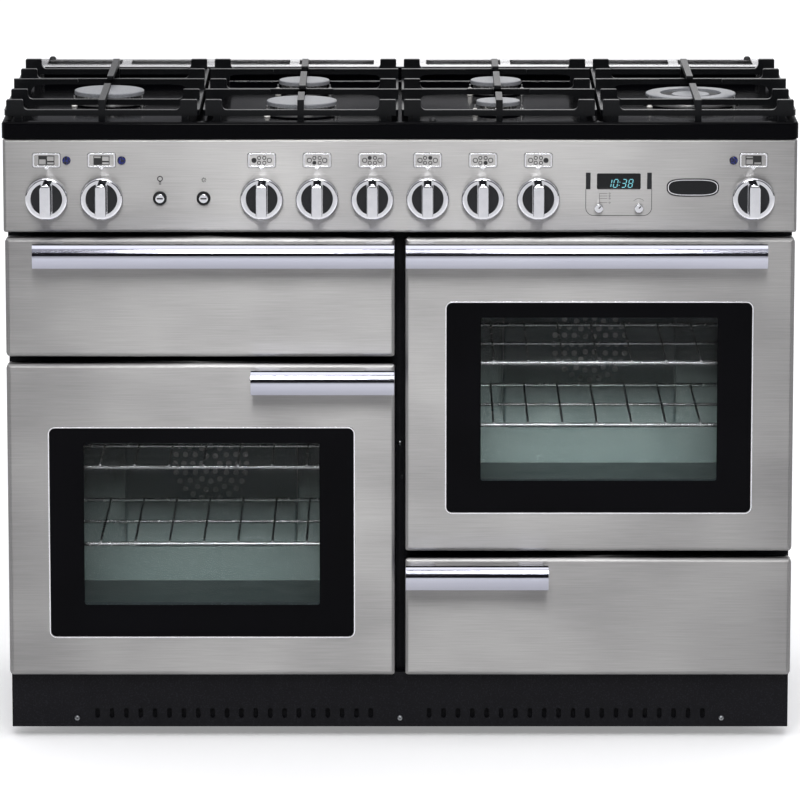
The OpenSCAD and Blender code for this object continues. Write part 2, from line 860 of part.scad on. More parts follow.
// Pair of fingers from the two sides of a support, long ones over a burner
module cross_fingers(mid_x, y, long) {
    half = support_w / 2;
    translate([mid_x, 0, 0]) along_y(y - cast_t / 2, y + cast_t / 2) {
        if (long) {
            finger_outline(-half, -finger_tip);
            finger_outline(half, finger_tip);
        } else {
            lug_outline(-half, 1);
            lug_outline(half, -1);
        }
    }
}

module long_finger(mid_x, root_y, tip_y) {
    translate([mid_x, 0, 0]) along_x(-cast_t / 2, cast_t / 2) finger_outline(root_y, tip_y);
}

module low_rail(mid_x, y) {
    half = support_w / 2;
    block(mid_x - half + eps, mid_x + half - eps, y - cast_t / 2, y + cast_t / 2, rail_z, rail_top);
}

// Support over one burner in the third row, with low rails across it on both sides
module single_support(mid_x) {
    near = 46;
    far = 29;
    union() {
        cast_frame(mid_x);
        for (i = [1, 3]) low_rail(mid_x, row[i]);
        for (i = [0, 1, 3, 4]) cross_fingers(mid_x, row[i], false);
        cross_fingers(mid_x, row[2], true);
        long_finger(mid_x, row[0] - cast_t / 2, row[2] - near);
        long_finger(mid_x, row[4] + cast_t / 2, row[2] + far);
    }
}

// Support over two burners, with a low rail across its middle
module double_support(mid_x) {
    near = 26;
    far = 36;
    union() {
        cast_frame(mid_x);
        low_rail(mid_x, row[2]);
        for (i = [0, 2, 4]) cross_fingers(mid_x, row[i], false);
        for (i = [1, 3]) cross_fingers(mid_x, row[i], true);
        long_finger(mid_x, row[0] - cast_t / 2, row[1] - near);
        long_finger(mid_x, row[2] + cast_t / 2, row[1] + far);
        long_finger(mid_x, row[2] - cast_t / 2, row[3] - near);
        long_finger(mid_x, row[4] + cast_t / 2, row[3] + near);
    }
}

// Burner head: flared foot and a crown with flame ports cut round it
module burner_head(x, y, d) {
    r = d / 2 - cap_lap;
    ports = round(PI * d / port_pitch);
    crown_share = 0.45;
    port_up = 2.2;
    crown_z = seat_z + head_h * crown_share;
    port_z = crown_z + port_up;
    port_l = 6;
    translate([x, y, 0]) difference() {
        rotate_extrude() polygon([
            [0, seat_z], [r + foot_w, seat_z], [r + foot_w, seat_z + foot_t],
            [r - waist, seat_z + waist_up], [r - waist, crown_z], [r, crown_z + foot_t],
            [r, head_top], [0, head_top]
        ]);
        for (i = [0:ports - 1]) {
            rotate([0, 0, i * 360 / ports])
                block(r - port_l, r + eps, -port_w / 2, port_w / 2, port_z, head_top + eps);
        }
    }
}

// Spark plug and flame sensor beside a burner
module burner_probes(x, y, d) {
    probe_angle = 35;
    probe_r = 2.6;
    probe_h = 11;
    tip_r = 1;
    tip_l = 5;
    probe_gap = 9;
    reach = d / 2 + probe_gap;
    for (side = [-1, 1]) {
        px = x + side * reach * cos(probe_angle);
        py = y - reach * sin(probe_angle);
        rod_z(floor_z, floor_z + probe_h, px, py, probe_r);
        rod_z(floor_z + probe_h, floor_z + probe_h + tip_l, px, py, tip_r);
    }
}

module burner_cap(x, y, d) {
    translate([x, y, 0]) rotate_extrude()
        disc_profile(d / 2, head_top, head_top + cap_h, cap_edge_r);
}

module wok_head(x, y) {
    r = wok_cap_d / 2 - cap_lap;
    ports = round(PI * wok_cap_d / port_pitch);
    bore = wok_bore_d / 2 + cap_lap;
    inner_edge_r = 1;
    crown_up = 5;
    port_h = 4;
    crown_z = seat_z + crown_up;
    port_z = wok_top - port_h;
    port_l = 5;
    translate([x, y, 0]) difference() {
        rotate_extrude() difference() {
            polygon([
                [0, seat_z], [r + foot_w, seat_z], [r + foot_w, seat_z + foot_t],
                [r - waist, seat_z + waist_up], [r - waist, crown_z], [r, crown_z + inner_edge_r],
                [r, wok_top], [0, wok_top]
            ]);
            translate([-eps, seat_z + waist_up]) square([bore + eps, wok_top]);
        }
        for (i = [0:ports - 1]) {
            rotate([0, 0, i * 360 / ports])
                block(r - port_l, r + eps, -port_w / 2, port_w / 2, port_z, wok_top + eps);
        }
    }
    translate([x, y, 0]) rotate_extrude()
        disc_profile(inner_cap_r - cap_step, seat_z + waist_up, wok_top - cap_step, inner_edge_r);
}

module wok_cap(x, y) {
    translate([x, y, 0]) rotate_extrude() difference() {
        disc_profile(wok_cap_d / 2, wok_top, wok_top + cap_h - cap_step, cap_edge_r);
        translate([-eps, wok_top - eps]) square([wok_bore_d / 2 + eps, cap_h + 2 * eps]);
    }
    translate([x, y, 0]) rotate_extrude()
        disc_profile(inner_cap_r, wok_top - cap_step, wok_top + cap_step, cap_edge_r);
}

module side_panels() {
    color("#2b2b2e") at_face() for (side = [-1, 1]) {
        mirror([side < 0 ? 1 : 0, 0, 0]) difference() {
            block(body_half - flange, body_half, case_y, side_back, base_z, panel_top);
            block(body_half - flange - eps, body_half - sheet, case_y + sheet, side_back - sheet,
                base_z + sheet, panel_top - sheet);
        }
    }
}

// Rear sheet between the sides, with louvre slots, a terminal box and its cable gland
module rear_panel() {
    half = body_half - sheet;
    box_x = -half + box_inset;
    box_y = rear_y + box_depth;
    nut_y = box_y + nut_t;
    color("#8f9194") at_face() difference() {
        union() {
            block(-half, half, rear_y, rear_y + sheet, base_z + sheet, panel_top - sheet);
            along_y(rear_y, box_y) round_rect(box_x - box_half_w, box_x + box_half_w,
                cable_z - box_half_h, cable_z + box_half_h, box_r);
            for (x = [-door_mid, door_mid]) along_y(rear_y, rear_y + hump_depth)
                round_rect(x - hump_half, x + hump_half, hump_z - hump_half, hump_z + hump_half, box_r);
            translate([box_x, box_y, cable_z]) rotate([-90, 0, 0])
                cylinder(h = nut_t, r = gland_r + nut_over, $fn = 6);
            rod_y(nut_y, nut_y + gland_l, box_x, cable_z, gland_r);
        }
        rod_y(rear_y - eps, nut_y + gland_l + eps, box_x, cable_z, cable_r);
        rod_y(rear_y - eps, rear_y + sheet + eps, inlet_x, knob_z, gas_rail_r + pipe_gap);
        for (x = [-door_mid, door_mid]) {
            for (i = [0:top_louvres - 1], s = [-1, 1]) translate([x + s * louvre_step, 0,
                panel_top - louvre_drop + i * louvre_pitch]) louvre_cut(louvre_w / 2, sheet);
            for (i = [-hump_louvres:hump_louvres]) translate([x, 0, hump_z + i * louvre_pitch])
                louvre_cut(hump_slot_half, hump_depth);
        }
    }
}

// One slot through the rear sheet, as deep as the metal is there
module louvre_cut(half_l, depth) {
    along_y(rear_y - eps, rear_y + depth + eps)
        round_rect(-half_l, half_l, -louvre_h / 2, louvre_h / 2, louvre_h / 2 - slot_flat);
}

module base_tray() {
    color("#77797c") at_face() difference() {
        block(-body_half + flange, body_half - flange, case_y, rear_y, base_z, base_z + flange);
        block(-body_half + flange + sheet, body_half - flange - sheet, case_y + sheet,
            rear_y - sheet, base_z + sheet, base_z + flange + eps);
    }
}

// Threaded feet with round pads, a lock nut and a plate under the base tray
module levelling_feet() {
    pad_r = 20;
    pad_t = 6;
    cone_step = 3;
    cone_r = pad_r - cone_step;
    stud_r = 5;
    nut_r = 9;
    lock_nut_h = 8;
    plate_t = 3;
    plate_half = 25;
    nut_z = base_z - plate_t - lock_nut_h;
    color("#9a9ca0") at_face() {
        for (x = [-body_half + foot_in, body_half - foot_in], y = [case_y + foot_in, rear_y - foot_back]) {
            rod_z(0, pad_t, x, y, pad_r);
            translate([x, y, pad_t]) cylinder(h = pad_t, r1 = cone_r, r2 = nut_r);
            rod_z(pad_t, base_z - eps, x, y, stud_r);
            translate([x, y, nut_z]) cylinder(h = lock_nut_h + eps, r = nut_r, $fn = 6);
            block(x - plate_half, x + plate_half, y - plate_half, y + plate_half, base_z - plate_t, base_z);
        }
    }
}

// Folded plinth with two rows of upright vent slots
module plinth() {
    y0 = plinth_setback;
    y1 = case_y + plinth_return;
    z0 = plinth_gap;
    color("#1d1d22") at_face() difference() {
        block(-body_half, body_half, y0, y1, z0, base_z);
        block(-body_half + sheet, body_half - sheet, y0 + sheet, y1 + eps, z0 - eps, base_z - sheet);
        for (side = [-1, 1], i = [0:plinth_slots - 1]) {
            x = side * (plinth_solid + i * plinth_slot_pitch);
            along_y(y0 - eps, y0 + sheet + eps)
                round_rect(x - plinth_slot_w / 2, x + plinth_slot_w / 2, z0 + plinth_slot_up,
                    z0 + plinth_slot_up + plinth_slot_h, plinth_slot_w / 2 - slot_flat);
        }
    }
}

// Front frame: one sheet with openings for the ovens, the grill and the drawer
module front_frame() {
    color("#17171a") at_face() along_y(frame_y, case_y) difference() {
        translate([-body_half, base_z]) square([2 * body_half, panel_z - base_z]);
        round_rect(-door_mid - cavity_w / 2, -door_mid + cavity_w / 2, left_oven_z,
            left_oven_z + oven_h, cavity_r);
        round_rect(door_mid - cavity_w / 2, door_mid + cavity_w / 2, right_oven_z,
            right_oven_z + oven_h, cavity_r);
        round_rect(-door_mid - cavity_w / 2, -door_mid + cavity_w / 2, grill_cavity_z,
            grill_cavity_z + grill_h, cavity_r);
        round_rect(door_mid - drawer_w / 2 - runner_t - opening_gap,
            door_mid + drawer_w / 2 + runner_t + opening_gap, base_z + flange + seat_gap,
            drawer_z + drawer_up + drawer_h + opening_over, opening_r);
    }
}

module display_outline(r) {
    round_rect(clock_x - display_w / 2, clock_x + display_w / 2, display_z - display_h / 2,
        display_z + display_h / 2, r);
}

// Folded fascia with holes for the spindles, buttons, lenses and clock
module control_panel() {
    hole_r = spindle_r + 2;
    lap = 1.5;
    window_edge_r = 1;
    color("#b9babb") at_face() difference() {
        pressed_slab(-panel_half, panel_half, 0, case_y, panel_z, panel_top, panel_edge_r, panel_edge_r);
        block(-panel_half + sheet, panel_half - sheet, sheet, case_y + eps, panel_z + sheet,
            panel_top - sheet);
        for (x = concat([grill_knob_x, left_oven_knob_x, right_oven_knob_x], burner_knob_x)) {
            rod_y(-eps, sheet + eps, x, knob_z, hole_r);
        }
        for (x = button_x) rod_y(-eps, sheet + eps, x, knob_z, button_d / 2 - lap);
        for (x = neon_x) rod_y(-eps, sheet + eps, x, neon_z, neon_d / 2 - lap);
        for (x = clock_knob_x) rod_y(-eps, sheet + eps, x, clock_knob_z, clock_spindle_r + lap / 2);
        along_y(-eps, sheet + eps) display_outline(window_edge_r);
    }
}

// Enamelled hob pressing: a rim round a shallow well with a raised seat under each burner
module hob_tray() {
    y0 = -rim_overhang;
    under_wall = 10;
    seat_root = floor_z - sheet / 2;
    color("#0c0c0e") at_face() {
        difference() {
            intersection() {
                along_z(panel_top, rim_top) round_rect(-half_w, half_w, y0, cooker_d, hob_corner_r);
                along_y(y0, cooker_d) round_rect(-half_w, half_w, panel_top - 2 * hob_edge_r, rim_top,
                    hob_edge_r);
                along_x(-half_w, half_w) round_rect(y0, cooker_d, panel_top - 2 * hob_edge_r, rim_top,
                    hob_edge_r);
            }
            along_z(floor_z, rim_top + eps) round_rect(-well_half, well_half, well_front, well_back,
                hob_corner_r);
            block(-half_w + under_wall, half_w - under_wall, y0 + under_wall, cooker_d - under_wall,
                panel_top - eps, floor_z - sheet);
        }
        for (b = small_burners) translate([b[0], b[1], 0]) rotate_extrude()
            disc_profile(b[2] / 2 + seat_w, seat_root, seat_z, seat_edge_r);
        translate([burner_x[3], row[2], 0]) rotate_extrude()
            disc_profile(wok_cap_d / 2 + seat_w, seat_root, seat_z, seat_edge_r);
    }
}

// Steel strip behind the pan supports, slotted for the flue
module rear_vent_trim() {
    end_gap = 2;
    edge_r = 4;
    slot_r = 3;
    x1 = well_half - end_gap;
    z1 = rim_top + vent_rise;
    mid_y = (vent_front + vent_back) / 2;
    color("#c9cacb") at_face() difference() {
        along_x(-x1, x1) intersection() {
            round_rect(vent_front, vent_back, floor_z - 2 * edge_r, z1, edge_r);
            translate([vent_front, floor_z]) square([vent_d, z1 - floor_z]);
        }
        block(-x1 + sheet, x1 - sheet, vent_front + sheet, vent_back - sheet, floor_z - eps, z1 - sheet);
        for (side = [-1, 1], i = [0:3]) {
            x0 = vent_middle + i * vent_pitch;
            mirror([side < 0 ? 1 : 0, 0, 0]) along_z(z1 - sheet - eps, z1 + eps)
                round_rect(x0, x0 + vent_slot_l, mid_y - vent_slot_w / 2, mid_y + vent_slot_w / 2, slot_r);
        }
    }
}

// Control body behind the panel, bored for the knob's spindle
module control_body(x, r, back) {
    difference() {
        union() {
            rod_y(sheet, sheet + collar_t, x, knob_z, r + collar_t);
            rod_y(sheet, back, x, knob_z, r);
        }
        rod_y(-eps, spindle_depth + spindle_clearance, x, knob_z, spindle_r + spindle_clearance);
    }
}

module push_switch(x) {
    difference() {
        union() {
            rod_y(-bezel_reach, sheet, x, knob_z, button_d / 2 - lens_step);
            rod_y(-bezel_reach, 0, x, knob_z, button_d / 2);
            rod_y(sheet, switch_back, x, knob_z, button_d / 2 + eps);
        }
        rod_y(-bezel_reach - eps, button_depth, x, knob_z, button_cap_r + spindle_clearance);
        rod_y(button_depth - eps, stem_bore, x, knob_z, button_stem_r + spindle_clearance);
    }
}

// Gas rail with its six taps and inlet pipe, and the three oven controls
module gas_rail_and_controls() {
    tap_r = 13;
    elbow_r = 11;
    oven_control_r = 19;
    oven_control_back = 46;
    rail_over = 24;
    union_nut_l = 8;
    color("#b59a5a") at_face() {
        difference() {
            union() {
                for (x = burner_knob_x) {
                    rod_y(sheet, sheet + collar_t, x, knob_z, tap_r + collar_t);
                    rod_y(sheet, tap_back, x, knob_z, tap_r);
                }
                rod_x(burner_knob_x[0] - rail_over, inlet_x, gas_rail_y, knob_z, gas_rail_r);
                rod_z(knob_z - elbow_r, knob_z + elbow_r, inlet_x, gas_rail_y, elbow_r);
                rod_y(gas_rail_y, rear_y + union_nut_l, inlet_x, knob_z, gas_rail_r);
                translate([inlet_x, rear_y + sheet, knob_z]) rotate([-90, 0, 0])
                    cylinder(h = union_nut_l, r = inlet_r + nut_t, $fn = 6);
                rod_y(rear_y + sheet + union_nut_l, cooker_d, inlet_x, knob_z, inlet_r);
            }
            for (x = burner_knob_x) rod_y(-eps, spindle_depth + spindle_clearance, x, knob_z,
                spindle_r + spindle_clearance);
        }
        for (x = [grill_knob_x, left_oven_knob_x, right_oven_knob_x]) {
            control_body(x, oven_control_r, oven_control_back);
        }
    }
}

// Clock housing behind the panel with its display glass in the panel's window, and the two switches
module clock_and_switches() {
    margin = 18;
    housing_back = 38;
    housing_r = 3;
    display_reach = 0.8;
    window_edge_r = 1;
    half = display_w / 2 + margin;
    spindle_bore_r = clock_spindle_r + spindle_clearance;
    color("#111317") at_face() {
        difference() {
            union() {
                along_y(-display_reach, sheet) display_outline(window_edge_r);
                along_y(sheet, housing_back) round_rect(clock_x - half, clock_x + half,
                    clock_knob_z - margin, display_z + display_h / 2 + margin / 2, housing_r);
            }
            for (x = clock_knob_x) {
                rod_y(0, clock_spindle_l + spindle_clearance, x, clock_knob_z, spindle_bore_r);
            }
        }
        for (x = button_x) push_switch(x);
    }
}

module neon_lenses() {
    lens_reach = 3;
    lens_edge_r = 1.4;
    lens_back = 12;
    color("#2243c8") at_face() for (x = neon_x) {
        turned(x, neon_z) disc_profile(neon_d / 2, 0, lens_reach, lens_edge_r);
        rod_y(0, lens_back, x, neon_z, neon_d / 2 - lens_step);
    }
}

module burner_heads() {
    color("#a8a9ab") at_face() {
        for (b = small_burners) burner_head(b[0], b[1], b[2]);
        wok_head(burner_x[3], row[2]);
        for (b = small_burners) burner_probes(b[0], b[1], b[2]);
        burner_probes(burner_x[3], row[2], wok_cap_d);
    }
}

module burner_caps() {
    color("#8d8f92") at_face() {
        for (b = small_burners) burner_cap(b[0], b[1], b[2]);
        wok_cap(burner_x[3], row[2]);
    }
}

module left_oven_liner() {
    color("#3a3f45") at_face() oven_box(-door_mid, left_oven_z);
}

module right_oven_liner() {
    color("#3a3f45") at_face() oven_box(door_mid, right_oven_z);
}

module grill_chamber() {
    color("#3a3f45") at_face() cavity_box(-door_mid, grill_cavity_z, grill_h, grill_d);
}

// Ring elements round the fans and a looped element under the roof of the grill
module heating_elements() {
    ring_r = 86;
    ring_depth = [34, 20];
    ring_y = [for (d = ring_depth) oven_back - d];
    tube_r = 3.5;
    end_r = 3.2;
    end_angles = [-100, -80];
    runs = 6;
    run_pitch = 56;
    grill_tube_r = 4;
    roof_gap = 18;
    front_space = 50;
    back_space = 60;
    bar_z = grill_cavity_z + grill_h - roof_gap;
    y0 = case_y + front_space;
    y1 = grill_back - back_space;
    strap_in = 30;
    strap_y = y0 + strap_in;
    strap_half = 10;
    strap_half_t = 2;
    bar_half = 4;
    color("#5b5551") at_face() {
        for (o = [[-door_mid, left_oven_z], [door_mid, right_oven_z]]) {
            translate([o[0], 0, o[1] + fan_up]) {
                for (y = ring_y) translate([0, y, 0]) rotate([90, 0, 0]) rotate_extrude()
                    translate([ring_r, 0]) circle(tube_r);
                for (a = end_angles) {
                    rod_y(ring_y[0], oven_back - sheet, ring_r * cos(a), ring_r * sin(a), end_r);
                }
            }
        }
        for (i = [0:runs - 1]) {
            x = -door_mid + (i - (runs - 1) / 2) * run_pitch;
            end = (i == 0 || i == runs - 1) ? grill_back - sheet : y1;
            rod_y(y0, end, x, bar_z, grill_tube_r);
        }
        for (i = [0:runs - 2]) {
            x = -door_mid + (i - (runs - 2) / 2) * run_pitch;
            front = i % 2 == 0;
            translate([x, front ? y0 : y1, bar_z]) intersection() {
                rotate_extrude() translate([run_pitch / 2, 0]) circle(grill_tube_r);
                block(-run_pitch, run_pitch, front ? -run_pitch : 0, front ? 0 : run_pitch,
                    -2 * grill_tube_r, 2 * grill_tube_r);
            }
        }
        for (s = [-1, 1]) {
            x = -door_mid + s * run_pitch * 1.5;
            block(x - strap_half_t, x + strap_half_t, strap_y - strap_half, strap_y + strap_half, bar_z,
                grill_cavity_z + grill_h);
            block(x - run_pitch / 2 - strap_half_t, x + run_pitch / 2 + strap_half_t, strap_y - bar_half,
                strap_y + bar_half, bar_z - 1, bar_z + strap_half_t);
        }
    }
}

// Perforated guard on the rear wall of each oven
module fan_covers() {
    cover_t = 1.5;
    corner = 14;
    edge = 5;
    hole_r = 4;
    hole_step = 13;
    rings = 4;
    vent_half = 4;
    vent_step = 30;
    vent_depth = [14, 40];
    vent_y = [for (d = vent_depth) cover_front + d];
    color("#4a4f55") at_face() for (o = [[-door_mid, left_oven_z], [door_mid, right_oven_z]]) {
        translate([o[0], 0, o[1] + fan_up]) difference() {
            pressed_slab(-cover_half, cover_half, cover_front, oven_back - sheet, -cover_half, cover_half,
                corner, edge);
            pressed_slab(-cover_half + cover_t, cover_half - cover_t, cover_front + cover_t, oven_back,
                -cover_half + cover_t, cover_half - cover_t, corner - cover_t, edge - cover_t);
            for (ring = [1:rings], i = [0:ring * 6 - 1]) {
                a = i * 60 / ring;
                rod_y(cover_front - eps, cover_front + cover_t + eps, ring * hole_step * cos(a),
                    ring * hole_step * sin(a), hole_r);
            }
            for (side = [-1, 1], i = [-3:3]) {
                x = side * cover_half;
                z = i * vent_step;
                block(x - vent_half, x + vent_half, vent_y[0], vent_y[1], z - vent_half, z + vent_half);
                block(z - vent_half, z + vent_half, vent_y[0], vent_y[1], x - vent_half, x + vent_half);
            }
        }
    }
}

module fan_motors() {
    mount_r = 42;
    mount_t = 3;
    can_r = 30;
    can_l = 46;
    stack_r = 38;
    stack_depth = [12, 34];
    stack_y = [for (d = stack_depth) oven_back + d];
    color("#6d6f73") at_face() for (o = [[-door_mid, left_oven_z], [door_mid, right_oven_z]]) {
        difference() {
            union() {
                rod_y(oven_back, oven_back + mount_t, o[0], o[1] + fan_up, mount_r);
                rod_y(oven_back, oven_back + can_l, o[0], o[1] + fan_up, can_r);
                rod_y(stack_y[0], stack_y[1], o[0], o[1] + fan_up, stack_r);
            }
            rod_y(oven_back - eps, oven_back + motor_bore, o[0], o[1] + fan_up,
                spindle_r + spindle_clearance);
        }
    }
}

// Wire ladders in the ovens and the two ledges of the grill
module shelf_guides() {
    y0 = case_y + side_inset;
    y1 = grill_back - 2 * side_inset;
    ledge_t = 2;
    ledge_over = 10;
    z1 = grill_cavity_z + pan_flange_up - guide_gap;
    color("#c2c3c5") at_face() {
        for (side = [-1, 1]) {
            guide_ladder(-door_mid + side * cavity_w / 2, side, left_z, left_levels);
            guide_ladder(door_mid + side * cavity_w / 2, side, right_z, right_levels);
            x = -door_mid + side * (cavity_w / 2 - pan_ledge_w / 2);
            block(x - pan_ledge_w / 2, x + pan_ledge_w / 2, y0, y1, z1 - ledge_t, z1);
            wall_x = -door_mid + side * (cavity_w / 2 - ledge_t / 2);
            block(wall_x - ledge_t / 2, wall_x + ledge_t / 2, y0, y1, z1 - pan_rail_h, z1 + ledge_over);
        }
    }
}

module seal_ring(mid_x, z) {
    gap = 2;
    difference() {
        round_rect(mid_x - cavity_w / 2 - gap - seal_w, mid_x + cavity_w / 2 + gap + seal_w,
            z - gap - seal_w, z + oven_h + gap + seal_w, cavity_r + gap + seal_w);
        round_rect(mid_x - cavity_w / 2 - gap, mid_x + cavity_w / 2 + gap, z - gap, z + oven_h + gap,
            cavity_r + gap);
    }
}

module oven_seals() {
    color("#2e2c2b") at_face() along_y(liner_back + seal_gap, frame_y) {
        seal_ring(-door_mid, left_oven_z);
        seal_ring(door_mid, right_oven_z);
    }
}

// Fixed channel of a drawer runner on a bracket from the base tray
module drawer_runner(side) {
    lip_t = 2;
    x1 = drawer_w / 2 + runner_t;
    x0 = x1 - channel_t;
    lip_x = drawer_w / 2 + eps;
    z0 = drawer_rail_z - runner_gap;
    z1 = drawer_rail_z + drawer_rail_h + runner_gap;
    y0 = case_y + sheet;
    y1 = skin_depth + drawer_d + side_inset;
    translate([door_mid, 0, 0]) mirror([side < 0 ? 1 : 0, 0, 0]) {
        block(x0, x1, y0, y1, base_z + sheet, z1 + lip_t);
        block(lip_x, x0 + eps, y0, y1, z0 - lip_t, z0);
        block(lip_x, x0 + eps, y0, y1, z1, z1 + lip_t);
        block(x0 - flange, x1, y0, y1, base_z + sheet, base_z + 2 * sheet);
    }
}

// Hinge arms of the three doors and the drawer's fixed runners
module hinges_and_runners() {
    color("#a3a5a8") at_face() {
        at_drop_hinges(-door_mid, grill_z) hinge_arm();
        at_drop_hinges(door_mid, right_z) hinge_arm();
        at_side_hinges() hinge_arm();
        for (side = [-1, 1]) drawer_runner(side);
    }
}

module left_oven_fan() {
    color("#85878a") at_face() fan_wheel(-door_mid, left_oven_z + fan_up);
}

module right_oven_fan() {
    color("#85878a") at_face() fan_wheel(door_mid, right_oven_z + fan_up);
}

// The grill door is a steel skin with an enamelled liner behind it
module grill_door_panel() {
    color("#b4b5b6") at_face() {
        door_skin(-door_mid - door_w / 2, -door_mid + door_w / 2, grill_z, grill_z + short_h);
        drop_door_inner(-door_mid, grill_z, short_h, false);
    }
}

module grill_door_handle() {
    x1 = -centre_gap / 2 - bar_inset;
    color("#c8c9cf") at_face() bar_handle(x1 - long_bar, x1, grill_z + short_h);
}

// The return edge is notched round the two hinges
module left_door_panel() {
    reach = hinge_slot + hinge_boss_l + eps;
    color("#b4b5b6") at_face() difference() {
        oven_door_panel(-door_mid, left_z);
        at_side_hinges() block(-reach, reach, sheet - pivot_y + eps, skin_depth - pivot_y + eps,
            sheet - side_pivot_in, skin_return - side_pivot_in + eps);
    }
}

module left_door_glass() {
    color("#101216") at_face() oven_door_glass(-door_mid, left_z);
}

module left_door_inner() {
    color("#3a3f45") at_face() side_door_inner(-door_mid, left_z);
}

module left_door_handle() {
    x1 = -centre_gap / 2 - bar_inset;
    color("#c8c9cf") at_face() bar_handle(x1 - short_bar, x1, left_z + tall_h);
}

module right_door_panel() {
    color("#b4b5b6") at_face() oven_door_panel(door_mid, right_z);
}

module right_door_glass() {
    color("#101216") at_face() oven_door_glass(door_mid, right_z);
}

module right_door_inner() {
    color("#3a3f45") at_face() drop_door_inner(door_mid, right_z, tall_h, true);
}

module right_door_handle() {
    x0 = centre_gap / 2 + bar_inset;
    color("#c8c9cf") at_face() bar_handle(x0, x0 + long_bar, right_z + tall_h);
}

module drawer_front() {
    color("#b4b5b6") at_face()
        door_skin(door_mid - door_w / 2, door_mid + door_w / 2, drawer_z, drawer_z + short_h);
}

// Open steel box with a running rail on each side and a flange behind the front skin
module drawer_box() {
    wall = 1.5;
    face_inset = 6;
    rail_start = 40;
    y0 = skin_depth;
    y1 = skin_depth + drawer_d;
    z0 = drawer_z + drawer_up;
    z1 = z0 + drawer_h;
    x1 = drawer_w / 2;
    color("#8a8c8f") at_face() translate([door_mid, 0, 0]) {
        difference() {
            block(-x1, x1, y0, y1, z0, z1);
            block(-x1 + wall, x1 - wall, y0 + wall, y1 - wall, z0 + wall, z1 + eps);
        }
        difference() {
            block(-door_w / 2 + face_inset, door_w / 2 - face_inset, y0, y0 + wall,
                drawer_z + face_inset, drawer_z + short_h - face_inset);
            block(-x1 + wall / 2, x1 - wall / 2, y0 - eps, y0 + 2 * wall, z0 + wall / 2, z1 - wall / 2);
        }
        for (side = [-1, 1]) mirror([side < 0 ? 1 : 0, 0, 0]) {
            block(x1 - wall / 2, x1 + runner_t - channel_t - runner_gap, y0 + rail_start, y1,
                drawer_rail_z, drawer_rail_z + drawer_rail_h);
        }
    }
}

module drawer_handle() {
    x0 = centre_gap / 2 + bar_inset;
    color("#c8c9cf") at_face() bar_handle(x0, x0 + short_bar, drawer_z + short_h);
}

module pan_support_left() {
    color("#1b1c20") at_face() single_support(burner_x[0]);
}

module pan_support_centre_left() {
    color("#1b1c20") at_face() double_support(burner_x[1]);
}

module pan_support_centre_right() {
    color("#1b1c20") at_face() double_support(burner_x[2]);
}

module pan_support_right() {
    color("#1b1c20") at_face() single_support(burner_x[3]);
}

module panel_knob(x) {
    color("#c9cace") at_face() control_knob(x);
}

// Cap that travels inside a switch's bezel
module push_button(x) {
    cap_reach = 8;
    cap_edge = 1;
    color("#c9cace") at_face() {
        turned(x, knob_z) disc_profile(button_cap_r, -button_travel, cap_reach, cap_edge);
        rod_y(button_travel - eps, stem_bore - button_travel - eps, x, knob_z, button_stem_r);
    }
}

module clock_knob(x) {
    reach = 9;
    edge = 1;
    notch = 0.6;
    color("#2a2b2e") at_face() difference() {
        union() {
            turned(x, clock_knob_z) disc_profile(clock_knob_d / 2, edge, reach, edge);
            rod_y(-edge - notch, clock_spindle_l, x, clock_knob_z, clock_spindle_r);
        }
        block(x - notch, x + notch, -reach - eps, -reach + edge, clock_knob_z, clock_knob_z + clock_knob_d);
    }
}

// Grill pan hung by its side flanges, with a wire trivet inside
module grill_pan() {
    wall = 1.5;
    pan_h = 40;
    pan_r = 16;
    side_gap = 3;
    end_gap = 4;
    x1 = cavity_w / 2 - pan_ledge_w - side_gap;
    flange_x = cavity_w / 2 - end_gap;
    y0 = rack_front + end_gap;
    y1 = grill_back - 6 * end_gap;
    z1 = grill_cavity_z + pan_flange_up + wall;
    z0 = z1 - pan_h;
    wires = 9;
    wire_r = 2;
    wire_inset = 22;
    first_wire_in = 30;
    first_wire = y0 + first_wire_in;
    wire_z = z0 + wall + wire_r;
    wire_lap = 0.5;
    color("#23252a") at_face() translate([-door_mid, 0, 0]) {
        difference() {
            union() {
                along_z(z0, z1) round_rect(-x1, x1, y0, y1, pan_r);
                block(-flange_x, flange_x, y0 + pan_r, y1 - pan_r, z1 - wall, z1);
            }
            along_z(z0 + wall, z1 + eps) round_rect(-x1 + wall, x1 - wall, y0 + wall, y1 - wall,
                pan_r - wall);
        }
        for (side = [-1, 1]) {
            rod_y(y0 + wire_inset, y1 - wire_inset, side * (x1 - wire_inset - wire_r), wire_z, wire_r);
        }
        for (i = [0:wires - 1]) {
            y = first_wire + i * (y0 + y1 - 2 * first_wire) / (wires - 1);
            rod_x(-x1 + wire_inset, x1 - wire_inset, y, wire_z + 2 * wire_r - wire_lap, wire_r);
        }
    }
}

module rack_at(mid_x, z) {
    color("#c2c3c5") at_face() oven_rack(mid_x, z);
}

side_panels();
rear_panel();
base_tray();
levelling_feet();
plinth();
front_frame();
control_panel();
hob_tray();
rear_vent_trim();
gas_rail_and_controls();
clock_and_switches();
neon_lenses();
burner_heads();
burner_caps();
left_oven_liner();
right_oven_liner();
grill_chamber();
heating_elements();
fan_covers();
fan_motors();
shelf_guides();
oven_seals();
hinges_and_runners();
left_oven_fan();
right_oven_fan();
grill_door_panel();
grill_door_handle();
left_door_panel();
left_door_glass();
left_door_inner();
left_door_handle();
right_door_panel();
right_door_glass();
right_door_inner();
right_door_handle();
drawer_front();
drawer_box();
drawer_handle();
pan_support_left();
pan_support_centre_left();
pan_support_centre_right();
pan_support_right();
panel_knob(grill_knob_x);  // grill_knob
panel_knob(left_oven_knob_x);  // left_oven_knob
panel_knob(burner_knob_x[0]);  // burner_knob_1
panel_knob(burner_knob_x[1]);  // burner_knob_2
panel_knob(burner_knob_x[2]);  // burner_knob_3
